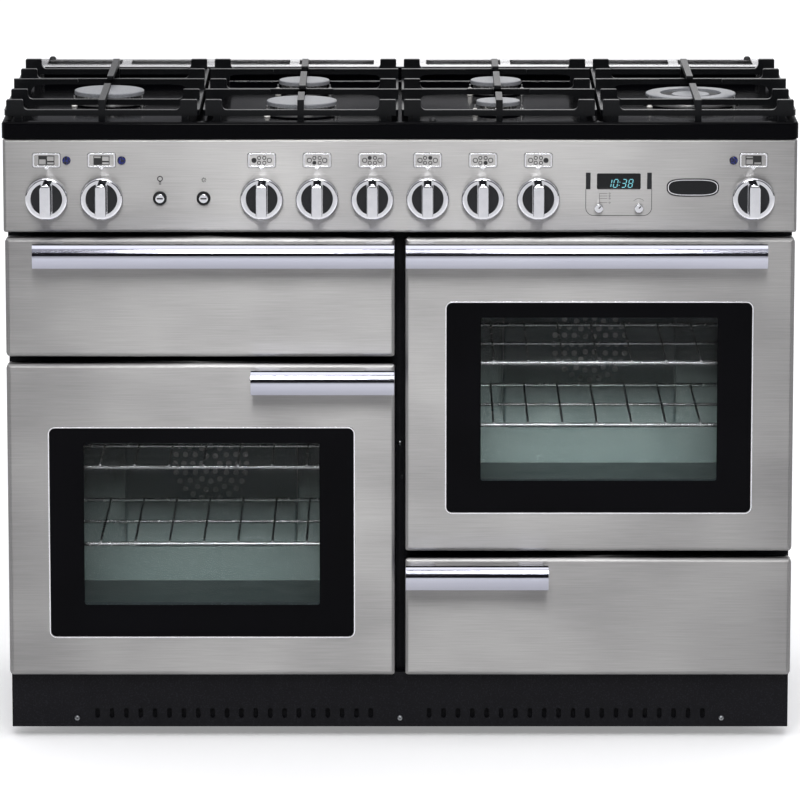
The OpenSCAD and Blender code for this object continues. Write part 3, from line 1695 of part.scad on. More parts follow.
panel_knob(burner_knob_x[3]);  // burner_knob_4
panel_knob(burner_knob_x[4]);  // burner_knob_5
panel_knob(burner_knob_x[5]);  // burner_knob_6
panel_knob(right_oven_knob_x);  // right_oven_knob
push_button(button_x[1]);  // ignition_button
push_button(button_x[0]);  // oven_light_button
clock_knob(clock_knob_x[0]);  // clock_mode_knob
clock_knob(clock_knob_x[1]);  // clock_set_knob
grill_pan();
rack_at(-door_mid, left_z + left_high_rack);  // left_rack_upper
rack_at(-door_mid, left_z + left_low_rack);  // left_rack_lower
rack_at(door_mid, right_z + right_high_rack);  // right_rack_upper
rack_at(door_mid, right_z + right_low_rack);  // right_rack_lower
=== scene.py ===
# %% [markdown]
# # Range cooker: the looks
#
# This script dresses a range cooker that a CAD program has already built and that a physics program
# already moves. The steel, enamel, cast iron and glass get their materials here, and the small
# things that carry no load are added: the printed symbols, the clock's digits, screws and trims.
#
# Sizes are in millimetres in the lists below and in metres in Blender. A place is given as three
# numbers: across from the middle, back from the faces of the doors, and up from the floor.

import json
import math

import bmesh
import bpy
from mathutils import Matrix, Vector


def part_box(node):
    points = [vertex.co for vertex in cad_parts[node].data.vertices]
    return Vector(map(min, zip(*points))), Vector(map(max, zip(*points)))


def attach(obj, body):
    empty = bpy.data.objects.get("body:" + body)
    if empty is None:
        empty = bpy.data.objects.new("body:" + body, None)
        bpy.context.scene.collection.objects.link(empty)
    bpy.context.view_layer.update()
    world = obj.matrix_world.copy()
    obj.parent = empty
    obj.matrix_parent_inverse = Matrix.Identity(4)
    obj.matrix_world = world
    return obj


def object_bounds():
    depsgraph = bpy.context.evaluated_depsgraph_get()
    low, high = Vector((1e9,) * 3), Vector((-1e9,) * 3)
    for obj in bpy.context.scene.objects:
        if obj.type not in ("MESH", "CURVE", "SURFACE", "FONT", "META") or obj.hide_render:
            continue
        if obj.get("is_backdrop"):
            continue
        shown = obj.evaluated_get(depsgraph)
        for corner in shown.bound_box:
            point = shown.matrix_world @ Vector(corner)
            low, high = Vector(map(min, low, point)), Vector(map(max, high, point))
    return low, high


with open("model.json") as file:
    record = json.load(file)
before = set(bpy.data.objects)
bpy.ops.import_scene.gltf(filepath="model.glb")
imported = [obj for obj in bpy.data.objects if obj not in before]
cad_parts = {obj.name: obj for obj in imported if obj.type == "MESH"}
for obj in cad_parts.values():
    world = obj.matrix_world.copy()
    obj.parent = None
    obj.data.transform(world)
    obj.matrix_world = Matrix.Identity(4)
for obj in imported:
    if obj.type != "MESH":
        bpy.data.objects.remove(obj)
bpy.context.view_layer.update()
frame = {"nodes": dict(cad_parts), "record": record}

# %% [markdown]
# ## Two helpers for every material
#
# Colours are written as hex codes, the way a paint chart gives them, and turned into the linear
# values that the renderer adds and multiplies. `add` makes one shader node: its inputs are numbers,
# colours, or the outputs of other nodes.

# %% Colours and nodes
MM = 0.001
FACE_Y = -0.276  # the faces of the doors, in metres
NOISE_LOW, NOISE_HIGH = 0.3, 0.7  # nearly all values of a noise lie between these


def linear(code):
    """A hex colour such as #8a8c90 as linear red, green, blue and alpha."""
    values = [int(code[i:i + 2], 16) / 255 for i in (1, 3, 5)]
    return [v / 12.92 if v <= 0.04045 else ((v + 0.055) / 1.055) ** 2.4 for v in values] + [1.0]


def add(tree, kind, inputs=None, **settings):
    """One node of a kind, with its settings, and its inputs by name or number."""
    node = tree.nodes.new(kind)
    for key, value in settings.items():
        setattr(node, key, value)
    for key, value in (inputs or {}).items():
        if isinstance(value, bpy.types.NodeSocket):
            tree.links.new(value, node.inputs[key])
        else:
            node.inputs[key].default_value = value
    return node


def finish(name, color, roughness, metallic=0.0, ior=1.5, **sockets):
    """A new material with its shader's plain values; returns it with its tree and its shader."""
    made = bpy.data.materials.new(name)
    made.use_nodes = True
    shader = made.node_tree.nodes["Principled BSDF"]
    values = {"Base Color": linear(color), "Roughness": roughness, "Metallic": metallic, "IOR": ior}
    values.update({key.replace("_", " "): value for key, value in sockets.items()})
    for key, value in values.items():
        shader.inputs[key].default_value = value
    return made, made.node_tree, shader


def noise(tree, size_mm, detail=3.0, harsh=0.5):
    """Noise whose grains measure size_mm along x, y and z on the object."""
    coords = add(tree, "ShaderNodeTexCoord")
    scaled = add(tree, "ShaderNodeMapping",
                 {"Vector": coords.outputs["Object"], "Scale": [1 / (s * MM) for s in size_mm]})
    return add(tree, "ShaderNodeTexNoise", {"Vector": scaled.outputs["Vector"], "Scale": 1.0,
                                            "Detail": detail, "Roughness": harsh}).outputs["Fac"]


def remap(tree, value, low, high, out_low=0.0, out_high=1.0):
    """A value that runs from low to high, stretched to run from out_low to out_high."""
    span = add(tree, "ShaderNodeMapRange", {"Value": value, "From Min": low, "From Max": high,
                                            "To Min": out_low, "To Max": out_high})
    return span.outputs["Result"]


def vary(tree, value, low, high):
    """A noise stretched so that nearly all of it runs from low to high."""
    return remap(tree, value, NOISE_LOW, NOISE_HIGH, low, high)


def calc(tree, operation, first, second):
    """The ADD, MULTIPLY or MAXIMUM of two values."""
    return add(tree, "ShaderNodeMath", {0: first, 1: second}, operation=operation).outputs[0]


def mixed(tree, factor, first, second):
    """Two colours, hex codes or outputs, mixed by a factor."""
    first, second = [linear(c) if isinstance(c, str) else c for c in (first, second)]
    mix = add(tree, "ShaderNodeMix", {0: factor, 6: first, 7: second}, data_type="RGBA")
    return mix.outputs[2]


def join(tree, shader, **links):
    """Links outputs to the shader's sockets."""
    for key, output in links.items():
        tree.links.new(output, shader.inputs[key.replace("_", " ")])


def relief(tree, shader, height, depth_mm, strength=1.0):
    """Lets a pattern bend the surface's normal, as if it were depth_mm deep."""
    bump = add(tree, "ShaderNodeBump",
               {"Height": height, "Distance": depth_mm * MM, "Strength": strength})
    tree.links.new(bump.outputs["Normal"], shader.inputs["Normal"])


print("helpers ready")

# %% [markdown]
# ## Brushed steel
#
# The fronts are stainless steel, brushed from side to side. The scratches run along x, so light is
# spread up and down much more than sideways. The shader does that with its anisotropy, turned a
# quarter round from the tangent that runs about the z axis. A wide noise varies the roughness and
# paints soft light and dark patches into the colour, a painted sheen that stands for uneven
# reflections; a fine one stands for the brushing itself.

# %% Steel fronts
QUARTER_TURN = 0.25
CLOUD_MM = [260, 260, 150]
STREAK_SHARE = 0.45  # of the shading; the clouds have the rest


def brushed(name, color, along, roughness, depth_mm, tint, spread=0.0, swing=0.04):
    """Brushed metal, with the length of its streaks along x, y and z."""
    made, tree, shader = finish(name, color, roughness, metallic=1.0, ior=2.5, Anisotropic=spread,
                                Anisotropic_Rotation=QUARTER_TURN if spread else 0.0)
    streak = noise(tree, along, detail=3.0, harsh=0.6)
    cloud_and_painted_sheen = noise(tree, CLOUD_MM, detail=2.0)
    shine = calc(tree, "ADD", vary(tree, streak, -swing, swing),
                 vary(tree, cloud_and_painted_sheen, roughness - swing, roughness + swing))
    # The clouds' share of the colour is painted sheen: soft light and dark patches standing for
    # reflections.
    grain_and_painted_sheen = calc(tree, "ADD", vary(tree, streak, 0.0, STREAK_SHARE),
                 remap(tree, cloud_and_painted_sheen, 0.35, 0.65, 0.0, 1 - STREAK_SHARE))
    join(tree, shader, Roughness=shine, Base_Color=mixed(tree, grain_and_painted_sheen, tint, color))
    if spread:
        around_z = add(tree, "ShaderNodeTangent", direction_type="RADIAL", axis="Z")
        join(tree, shader, Tangent=around_z.outputs["Tangent"])
    relief(tree, shader, streak, depth_mm, 0.4)
    return made


steel_front = brushed("stainless_brushed_across", "#9c9b9a", [70, 70, 1.1], 0.36, 0.006, "#807f7f",
                      spread=0.95)
steel_trim = brushed("stainless_trim", "#d3d3d4", [40, 0.5, 0.5], 0.26, 0.004, "#bcbcbd",
                     spread=0.5)
bar_metal = brushed("polished_aluminium", "#b0b1bb", [120, 0.4, 0.4], 0.1, 0.001, "#a6a7b3",
                    swing=0.02)
zinc = brushed("galvanised_sheet", "#a3a6a9", [14, 14, 14], 0.42, 0.01, "#83878b")
print("metals:", steel_front.name, steel_trim.name, bar_metal.name, zinc.name)

# %% [markdown]
# ## Chrome, cast metal and wire
#
# Chrome is almost a mirror, so its colour comes from the studio around it. Cast parts scatter
# light: the iron of the pan supports has a fine grain, whose pale flecks are painted stronger on the
# faces that look up, a painted highlight as if lit from above, and the burner alloy is satin.

# %% Bright and cast metals
chrome, tree, shader = finish("chrome_plate", "#dcdde0", 0.05, metallic=1.0, ior=2.5)
haze = noise(tree, [9, 9, 9], detail=4.0)
join(tree, shader, Roughness=vary(tree, haze, 0.03, 0.08),
     Base_Color=mixed(tree, haze, "#d4d5d9", "#e6e6e9"))

wire, tree, shader = finish("plated_wire", "#b9babd", 0.2, metallic=1.0, ior=2.5)
join(tree, shader, Roughness=vary(tree, noise(tree, [4, 4, 4]), 0.12, 0.3),
     Base_Color=mixed(tree, noise(tree, [30, 30, 30]), "#727376", "#a9aaad"))

iron, tree, shader = finish("cast_iron_enamelled", "#08090b", 0.4, ior=1.5, Specular_IOR_Level=0.16)
grain = noise(tree, [1.2, 1.2, 1.2], detail=4.0, harsh=0.7)
lumps = noise(tree, [8, 8, 8], detail=3.0)
normal = add(tree, "ShaderNodeNewGeometry").outputs["Normal"]
facing = add(tree, "ShaderNodeSeparateXYZ", {"Vector": normal})
# Painted highlight: the pale flecks are stronger on faces that look up.
painted_top_light = remap(tree, facing.outputs["Z"], 0.3, 1.0, out_low=0.25)
flecks_and_painted_top_light = calc(tree, "MULTIPLY", remap(tree, grain, 0.48, 0.68), painted_top_light)
join(tree, shader, Base_Color=mixed(tree, flecks_and_painted_top_light, "#060709", "#292b32"),
     Roughness=vary(tree, grain, 0.28, 0.5))
relief(tree, shader, calc(tree, "ADD", grain, lumps), 0.2, 0.6)

alloy, tree, shader = finish("burner_alloy", "#c2c2c4", 0.36, metallic=1.0, ior=1.4)
turned_marks = noise(tree, [3, 3, 0.4], detail=3.0)
join(tree, shader, Base_Color=mixed(tree, noise(tree, [18, 18, 8]), "#bdbcba", "#e4e4e6"),
     Roughness=vary(tree, turned_marks, 0.26, 0.46))
relief(tree, shader, turned_marks, 0.04, 0.5)

cap_enamel, tree, shader = finish("burner_cap_enamel", "#7d7e83", 0.45, ior=1.5)
speck = noise(tree, [0.9, 0.9, 0.9], detail=2.0)
join(tree, shader, Base_Color=mixed(tree, remap(tree, speck, 0.35, 0.65), "#686a6f", "#97999d"),
     Roughness=vary(tree, speck, 0.42, 0.6))
relief(tree, shader, speck, 0.05, 0.4)

ceramic, tree, shader = finish("spark_plug_ceramic", "#e6e3dc", 0.22, ior=1.6)
smoke = noise(tree, [3, 3, 3], detail=3.0)
join(tree, shader, Base_Color=mixed(tree, remap(tree, smoke, 0.4, 0.7), "#f0eeea", "#d3cfc8"))
print("cast and bright metals:", chrome.name, wire.name, iron.name, alloy.name, cap_enamel.name)

# %% [markdown]
# ## Enamel, paint, glass and plastic
#
# Vitreous enamel is glass melted onto steel, so it is glossy with a slight orange peel. Inside the
# ovens it is grey with pale flecks. The window glass is clear and treated against glare: its low
# alpha takes the lamps' veil off it and lets their light in to the racks. Only its printed border
# is black.

# %% Enamels and paints
FLECK_TOP, FLECK_BLUR = 0.74, 0.03  # noise above the top less the share is a fleck
ROUGHEST, SMOOTHEST = 1.15, 0.88  # times the roughness that is asked for


def enamel(name, color, fleck, fleck_share, roughness, peel_mm, glint=0.5):
    """Fired enamel with flecks and a slight orange peel."""
    made, tree, shader = finish(name, color, roughness, ior=1.52, Specular_IOR_Level=glint)
    dots = noise(tree, [1.6, 1.6, 1.6], detail=1.0)
    edge = FLECK_TOP - fleck_share
    join(tree, shader,
         Base_Color=mixed(tree, remap(tree, dots, edge, edge + FLECK_BLUR), color, fleck),
         Roughness=vary(tree, noise(tree, [40, 40, 40]), roughness * SMOOTHEST,
                        roughness * ROUGHEST))
    relief(tree, shader, noise(tree, [5, 5, 5], detail=2.0), peel_mm, 0.5)
    return made


gloss_black = enamel("gloss_black_enamel", "#050507", "#101115", 0.05, 0.1, 0.01, 0.03)
oven_grey = enamel("speckled_grey_enamel", "#454e50", "#757f81", 0.07, 0.4, 0.01, 0.12)
pan_black = enamel("grill_pan_enamel", "#16171a", "#3a3c40", 0.07, 0.18, 0.05)
matt_black = enamel("black_powder_coat", "#0d0d11", "#19191e", 0.16, 0.5, 0.1, 0.12)

motor_grey = enamel("motor_grey_coat", "#4b4d50", "#5b5d60", 0.2, 0.5, 0.08)
fan_steel = brushed("pressed_fan_steel", "#8d8f92", [6, 6, 6], 0.34, 0.02, "#74767a")
heater = brushed("heat_tinted_sheath", "#6a5c50", [12, 12, 12], 0.4, 0.02, "#3c3834")
brass = brushed("machined_brass", "#b08d4a", [0.6, 8, 8], 0.28, 0.01, "#8a6c34")

seal_fibre, tree, shader = finish("woven_seal", "#3a3836", 0.9, ior=1.45, Sheen_Weight=0.3)
weave = noise(tree, [1.2, 1.2, 0.7], detail=3.0)
join(tree, shader, Base_Color=mixed(tree, remap(tree, weave, 0.35, 0.65), "#242220", "#55524e"))
relief(tree, shader, weave, 0.4, 0.8)

glass, tree, shader = finish("window_glass", "#e3eeea", 0.0, ior=1.5, Transmission_Weight=1.0,
                             Specular_IOR_Level=0.1, Alpha=0.05)
join(tree, shader, Base_Color=mixed(tree, noise(tree, [90, 90, 90]), "#dfebe7", "#e8f1ee"))

black_print, tree, shader = finish("black_glass_print", "#050507", 0.06, ior=1.5,
                                   Specular_IOR_Level=0.03)
join(tree, shader, Roughness=vary(tree, noise(tree, [80, 80, 80]), 0.04, 0.1),
     Base_Color=mixed(tree, noise(tree, [120, 120, 120]), "#040405", "#0a0a0e"))

clock_black, tree, shader = finish("smoked_plastic", "#07090c", 0.12, ior=1.49,
                                   Specular_IOR_Level=0.3)
join(tree, shader, Roughness=vary(tree, noise(tree, [12, 12, 12]), 0.08, 0.18))

neon_blue, tree, shader = finish("blue_neon_lens", "#121a5c", 0.1, ior=1.49)
facets_and_painted_glints = remap(tree, noise(tree, [2.2, 2.2, 2.2], detail=1.0), 0.46, 0.56)
# The lighter patches are painted glints on the lens's facets; the same noise also bumps the facets.
join(tree, shader, Base_Color=mixed(tree, facets_and_painted_glints, "#060922", "#17226c"))
relief(tree, shader, facets_and_painted_glints, 0.2, 0.5)

dark_plastic, tree, shader = finish("dark_moulded_plastic", "#141518", 0.4, ior=1.49,
                                    Specular_IOR_Level=0.3)
mould = noise(tree, [0.8, 0.8, 0.8], detail=3.0)
join(tree, shader, Base_Color=mixed(tree, mould, "#0e0f11", "#222327"),
     Roughness=vary(tree, mould, 0.3, 0.48))
relief(tree, shader, mould, 0.05, 0.5)
print("enamels:", gloss_black.name, oven_grey.name, matt_black.name, "glass:", glass.name)

# %% [markdown]
# ## Which part gets which material
#
# The parts come from CAD with a plain colour each. Their shapes are right, so they only swap
# material.

# %% Dress the CAD parts
burner_knobs = [f"burner_knob_{i}" for i in range(1, 7)]
knobs = ["grill_knob", "left_oven_knob", "right_oven_knob"] + burner_knobs
buttons = ["ignition_button", "oven_light_button"]
racks = ["left_rack_upper", "left_rack_lower", "right_rack_upper", "right_rack_lower"]
supports = [f"pan_support_{spot}" for spot in ("left", "centre_left", "centre_right", "right")]
handles = ["grill_door_handle", "left_door_handle", "right_door_handle", "drawer_handle"]
wardrobe = [
    (steel_front, ["control_panel", "grill_door_panel", "left_door_panel", "right_door_panel",
                   "drawer_front"]),
    (steel_trim, ["rear_vent_trim"]),
    (bar_metal, handles),
    (zinc, ["rear_panel", "base_tray", "levelling_feet", "hinges_and_runners", "drawer_box"]),
    (chrome, knobs + buttons + ["clock_mode_knob", "clock_set_knob"]),
    (wire, racks + ["shelf_guides"]),
    (iron, supports),
    (alloy, ["burner_heads"]),
    (cap_enamel, ["burner_caps"]),
    (gloss_black, ["hob_tray"]),
    (pan_black, ["grill_pan"]),
    (matt_black, ["side_panels", "plinth", "front_frame"]),
    (oven_grey, ["left_oven_liner", "right_oven_liner", "grill_chamber", "fan_covers",
                 "left_door_inner", "right_door_inner"]),
    (glass, ["left_door_glass", "right_door_glass"]),
    (heater, ["heating_elements"]),
    (motor_grey, ["fan_motors"]),
    (fan_steel, ["left_oven_fan", "right_oven_fan"]),
    (brass, ["gas_rail_and_controls"]),
    (seal_fibre, ["oven_seals"]),
    (clock_black, ["clock_and_switches"]),
    (neon_blue, ["neon_lenses"]),
]
for made, names in wardrobe:
    for name in names:
        part = frame["nodes"][name]
        part.data.materials.clear()
        part.data.materials.append(made)
dressed = [name for made, names in wardrobe for name in names]
print("dressed:", len(dressed), "left plain:", sorted(set(frame["nodes"]) - set(dressed)))

# %% [markdown]
# ## A small kit for flat and turned pieces
#
# Most of what is missing is flat: printed symbols, frames and plates. Each is an outline that is
# pushed back into a thin prism, and many prisms make one piece. Round things are turned on an axis.

# %% Shapes
def place(x, depth, z):
    """Millimetres across, back from the door faces and up from the floor, in metres."""
    return Vector((x * MM, FACE_Y + depth * MM, z * MM))


def disc(x, z, r, count=28):
    """Outline of a circle."""
    turns = [2 * math.pi * i / count for i in range(count)]
    return [(x + r * math.cos(t), z + r * math.sin(t)) for t in turns]


def arc(x, z, r, start, sweep, steps):
    """Points on an arc, from start degrees on over sweep degrees."""
    turns = [math.radians(start + sweep * i / steps) for i in range(steps + 1)]
    return [(x + r * math.cos(t), z + r * math.sin(t)) for t in turns]


def rounded(x0, x1, z0, z1, r, steps=5):
    """Outline of a rectangle with round corners."""
    corners = [(x1 - r, z1 - r, 0), (x0 + r, z1 - r, 90), (x0 + r, z0 + r, 180),
               (x1 - r, z0 + r, 270)]
    return [point for x, z, start in corners for point in arc(x, z, r, start, 90, steps)]


def centred(x, z, half_w, half_h, r):
    """Outline of a rectangle with round corners, by its middle and its half sizes."""
    return rounded(x - half_w, x + half_w, z - half_h, z + half_h, r)


def stroke(x0, z0, x1, z1, width):
    """Outline of a straight line of ink."""
    run = Vector((x1 - x0, z1 - z0)).normalized() * width / 2
    return [(x0 + run.y, z0 - run.x), (x1 + run.y, z1 - run.x), (x1 - run.y, z1 + run.x),
            (x0 - run.y, z0 + run.x)]


def polyline(points, width):
    """Outlines of the strokes of a line that runs through points."""
    return [stroke(*a, *b, width) for a, b in zip(points, points[1:])]


def piece(name, mesh, made):
    """An object with one material, of a mesh that is built."""
    bmesh.ops.recalc_face_normals(mesh, faces=mesh.faces)
    data = bpy.data.meshes.new(name)
    mesh.to_mesh(data)
    mesh.free()
    data.materials.append(made)
    made_piece = bpy.data.objects.new(name, data)
    bpy.context.scene.collection.objects.link(made_piece)
    return made_piece


def flat(name, shapes, made, body, bevel_mm=0.0):
    """One piece of prisms. A shape is (outline, near, far), or has the outline of a hole as well."""
    mesh = bmesh.new()
    for outline, near, far, *holes in shapes:
        rims = [[[mesh.verts.new(place(x, level, z)) for x, z in loop] for level in (near, far)]
                for loop in [outline] + holes]
        for front, back in rims:
            for i in range(len(front)):
                mesh.faces.new((front[i - 1], front[i], back[i], back[i - 1]))
        for side in (0, 1):
            if holes:
                outer, inner = rims[0][side], rims[1][side]
                for i in range(len(outer)):
                    mesh.faces.new((outer[i - 1], outer[i], inner[i], inner[i - 1]))
            else:
                mesh.faces.new(rims[0][side])
    made_piece = piece(name, mesh, made)
    if bevel_mm:
        bevel = made_piece.modifiers.new("soft_edge", "BEVEL")
        bevel.width = bevel_mm * MM
        bevel.segments = 3
        bevel.limit_method = "ANGLE"
    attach(made_piece, body)
    return made_piece


def turned(name, profile, centres, axis, made, body, count=32):
    """Round pieces: profile is (radius, height) from the axis out, centres are places in mm."""
    mesh = bmesh.new()
    for x, depth, z in centres:
        rings = []
        for radius, height in profile:
            ring = []
            for i in range(count):
                t = 2 * math.pi * i / count
                a, b = radius * math.cos(t), radius * math.sin(t)
                spot = {"front": (x + a, depth - height, z + b),
                        "back": (x + a, depth + height, z + b),
                        "up": (x + a, depth + b, z + height)}[axis]
                ring.append(mesh.verts.new(place(*spot)))
            rings.append(ring)
        for low, high in zip(rings, rings[1:]):
            for i in range(count):
                mesh.faces.new((low[i - 1], low[i], high[i], high[i - 1]))
        mesh.faces.new(rings[0])
        mesh.faces.new(rings[-1])
    made_piece = piece(name, mesh, made)
    for face in made_piece.data.polygons:
        face.use_smooth = len(face.vertices) == 4
    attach(made_piece, body)


print("shape kit ready")

# %% [markdown]
# ## Knob faces
#
# Each knob is a chrome ring round a dark disc, with a bright grip across it. The disc is a separate
# moulding in two halves, one on each side of the grip.

# %% Dark discs in the knobs
KNOB_Z, KNOB_PITCH = 766, 75.8
DISC_R, DISC_FLAT, DISC_NEAR, DISC_FAR = 21.8, 7.8, -9.2, -8.0
knob_places = {"grill_knob": -484.5, "left_oven_knob": -409, "right_oven_knob": 484.5}
knob_places.update({name: (i - 2.5) * KNOB_PITCH for i, name in enumerate(burner_knobs)})
bodies = frame["record"]["behaviour"]["bodies"]
body_of_node = {node: body for body, nodes in bodies.items() for node in nodes}


def half_disc(x, z, r, flat_x, side, count=22):
    """Outline of a disc's part beyond a chord."""
    reach = math.acos(flat_x / r)
    turns = [-reach + 2 * reach * i / count for i in range(count + 1)]
    return [(x + side * r * math.cos(t), z + side * r * math.sin(t)) for t in turns]


for name, x in knob_places.items():
    halves = [(half_disc(x, KNOB_Z, DISC_R, DISC_FLAT, side), DISC_NEAR, DISC_FAR)
              for side in (-1, 1)]
    flat(f"{name}_disc", halves, dark_plastic, body_of_node[name], bevel_mm=0.4)
print("knob discs:", len(knob_places))

# %% [markdown]
# ## Symbols on the panel
#
# Above each knob sits a raised frame with a symbol, with a dark ring round the frame as its painted
# shadow. A burner symbol shows the six burners with the knob's own one filled in, and an oven symbol
# shows the four fronts with one of them filled in.

# %% Frames and symbols
# This black is the print, and also painted shade: the ring round each frame and the screws'
# recesses.
print_and_shade, tree, shader = finish("black_print_and_painted_shade", "#101012", 0.5, ior=1.5)
join(tree, shader, Base_Color=mixed(tree, noise(tree, [0.6, 0.6, 0.6]), "#050506", "#131315"))

SIGN_Z = 818
RAISED = (-1.0, 0.2)  # near and far side of the frames, behind the doors' faces
INK = (-0.15, 0.1)
THIN_INK = (-0.12, 0.1)
RING_W = 1.15
ARROW_W, ARROW_TOP, ARROW_TIP = 3.6, 9.6, 13.8
raised, symbols_and_frame_shadows = [], []
for name, x in knob_places.items():
    outer = centred(x, SIGN_Z, 19, 9.8, 3)
    arrow = [(x - ARROW_W, SIGN_Z - ARROW_TOP), (x + ARROW_W, SIGN_Z - ARROW_TOP),
             (x, SIGN_Z - ARROW_TIP)]
    raised.append((outer, *RAISED, centred(x, SIGN_Z, 16.6, 7.6, 2)))
    raised.append((arrow, *RAISED))
    # A dark ring just outside each frame is painted shadow, the shade that the raised frame casts.
    symbols_and_frame_shadows.append((centred(x, SIGN_Z, 19.6, 10.4, 3.4), -0.1, 0.1, outer))
# Each burner's mark on the symbol: right of the middle, above it, and its radius.
burner_marks = [(-10.5, 0, 3.6), (-3.6, -3.4, 2.8), (-3.6, 3.4, 2.8), (3.6, 3.4, 2.8),
                (3.6, -3.4, 2.8), (10.5, 0, 3.6)]
for i, name in enumerate(burner_knobs):
    x = knob_places[name]
    for j, (dx, dz, r) in enumerate(burner_marks):
        holes = [] if i == j else [disc(x + dx, SIGN_Z + dz, r - RING_W)]
        symbols_and_frame_shadows.append((disc(x + dx, SIGN_Z + dz, r), *INK, *holes))
fronts = {"grill": (-11, 0, 2.2, 6.4), "left_oven": (-11, 0, -6.4, 2.2),
          "right_oven": (0, 11, -1.8, 6.4), "drawer": (0, 11, -6.4, -1.8)}
for name in ("grill_knob", "left_oven_knob", "right_oven_knob"):
    x = knob_places[name]
    for front, (x0, x1, z0, z1) in fronts.items():
        outer = rounded(x + x0, x + x1, SIGN_Z + z0, SIGN_Z + z1, 0.3, 1)
        inner = rounded(x + x0 + 1, x + x1 - 1, SIGN_Z + z0 + 1, SIGN_Z + z1 - 1, 0.2, 1)
        symbols_and_frame_shadows.append((outer, *INK) if name.startswith(front) else (outer, *INK, inner))

BULB_X, SPARK_X, BUTTON_SIGN_Z, LINE_W = -329, -269, 791, 0.9
bulb_z = BUTTON_SIGN_Z + 1.5
symbols_and_frame_shadows.append((disc(BULB_X, bulb_z, 4.0), *INK, disc(BULB_X, bulb_z, 2.6)))
for drop in (2.9, 4.5, 6.0):
    z = BUTTON_SIGN_Z - drop
    symbols_and_frame_shadows.append((stroke(BULB_X - 1.6, z, BULB_X + 1.6, z, LINE_W), *INK))
inner_ends, outer_ends = [disc(SPARK_X, BUTTON_SIGN_Z, r, 8) for r in (1.3, 3.5)]
symbols_and_frame_shadows += [(stroke(*start, *end, LINE_W), *INK) for start, end in zip(inner_ends, outer_ends)]
plate_rim, tree, shader = finish("satin_chrome_rim", "#dcdcdf", 0.22, metallic=1.0, ior=2.5)
pits = noise(tree, [1.2, 1.2, 1.2], detail=2.0)
join(tree, shader, Base_Color=mixed(tree, pits, "#cfcfd3", "#e9e9ec"))
relief(tree, shader, pits, 0.1, 0.5)
flat("symbol_frames", raised, plate_rim, "cabinet", bevel_mm=0.3)
flat("panel_symbols_and_frame_shadows", symbols_and_frame_shadows, print_and_shade, "cabinet")
for name in buttons:
    low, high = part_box(name)
    x, depth = (low.x + high.x) / 2 / MM, (low.y - FACE_Y) / MM
    mark = stroke(x - 4.2, KNOB_Z, x + 4.2, KNOB_Z, 2.0)
    flat(f"{name}_mark", [(mark, depth + INK[0], depth + INK[1])], print_and_shade, body_of_node[name])
for name in ("clock_mode_knob", "clock_set_knob"):
    low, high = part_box(name)
    x, z, depth = (low.x + high.x) / 2 / MM, (low.z + high.z) / 2 / MM, (low.y - FACE_Y) / MM
    mark = stroke(x, z, x + 3.2, z + 3.2, 1.4)
    flat(f"{name}_mark", [(mark, depth + THIN_INK[0], depth + THIN_INK[1])], print_and_shade,
         body_of_node[name])
print("frames:", len(raised) // 2, "marks:", len(symbols_and_frame_shadows) + 4)

# %% [markdown]
# ## Clock and badge
#
# The clock shows the time in slanted bars that glow cyan behind smoked plastic. Seven bars can make
# every digit. The name badge of the real cooker is left as a plain black plate.

# %% Clock
CLOCK_X, CLOCK_Z = 300, 789
glow, tree, shader = finish("cyan_display_glow", "#0b2a33", 0.3, ior=1.5, Emission_Strength=1.0)
join(tree, shader, Emission_Color=mixed(tree, noise(tree, [1.5, 1.5, 1.5]), "#5ab4c4", "#93dbe4"))

BARS = {"top": (0, 1, 1, 1), "upper_left": (0, 0.5, 0, 1), "upper_right": (1, 0.5, 1, 1),
        "middle": (0, 0.5, 1, 0.5), "lower_left": (0, 0, 0, 0.5), "lower_right": (1, 0, 1, 0.5),
        "bottom": (0, 0, 1, 0)}
DIGITS = {"1": ["upper_right", "lower_right"],
          "0": ["top", "upper_left", "upper_right", "lower_left", "lower_right", "bottom"],
          "3": ["top", "upper_right", "middle", "lower_right", "bottom"],
          "8": list(BARS)}
DIGIT_W, DIGIT_H, LEAN = 5.2, 11.0, 0.2
DIGIT_Z = CLOCK_Z - 8.3
BAR_W, BAR_GAP = 1.15, 0.12
LIT = (-1.0, -0.7)
lit = []
for digit, left in (("1", -16.5), ("0", -8.0), ("3", 3.5), ("8", 12.5)):
    for bar in DIGITS[digit]:
        ax, az, bx, bz = BARS[bar]
        gap = Vector((bx - ax, bz - az)) * BAR_GAP
        ends = [(CLOCK_X + left + p.x * DIGIT_W + LEAN * p.y * DIGIT_H, DIGIT_Z + p.y * DIGIT_H)
                for p in (Vector((ax, az)) + gap, Vector((bx, bz)) - gap)]
        lit.append((stroke(*ends[0], *ends[1], BAR_W), *LIT))
for h in (2.8, 7.2):
    lit.append((disc(CLOCK_X + LEAN * h, DIGIT_Z + h, 0.65, 12), *LIT))
flat("clock_digits", lit, glow, "cabinet")

# A line frames the clock's knobs, with marks over the left knob and an arc over the right one.
left, right, top, low, bend = CLOCK_X - 45.2, CLOCK_X + 45.2, 778, 741.5, 11
FRAME_LINE_W, MARK_LINE_W, CLOCK_KNOB_OUT = 0.8, 0.45, 27.5
corner_line = [(left, top), *arc(left + bend, low + bend, bend, 180, 90, 8),
               *arc(right - bend, low + bend, bend, 270, 90, 8), (right, top)]
outlines = [(line, *THIN_INK) for line in polyline(corner_line, FRAME_LINE_W)]
scale_x = CLOCK_X - CLOCK_KNOB_OUT + 1
outlines.append((stroke(scale_x, 757.8, scale_x, 772, MARK_LINE_W), *THIN_INK))
for h in (772, 768.6, 765.2, 759.4):
    outlines.append((stroke(scale_x, h, scale_x + 11, h, MARK_LINE_W), *THIN_INK))
    outlines.append((disc(scale_x + 14, h, 1.2, 14), *THIN_INK, disc(scale_x + 14, h, 0.7, 14)))
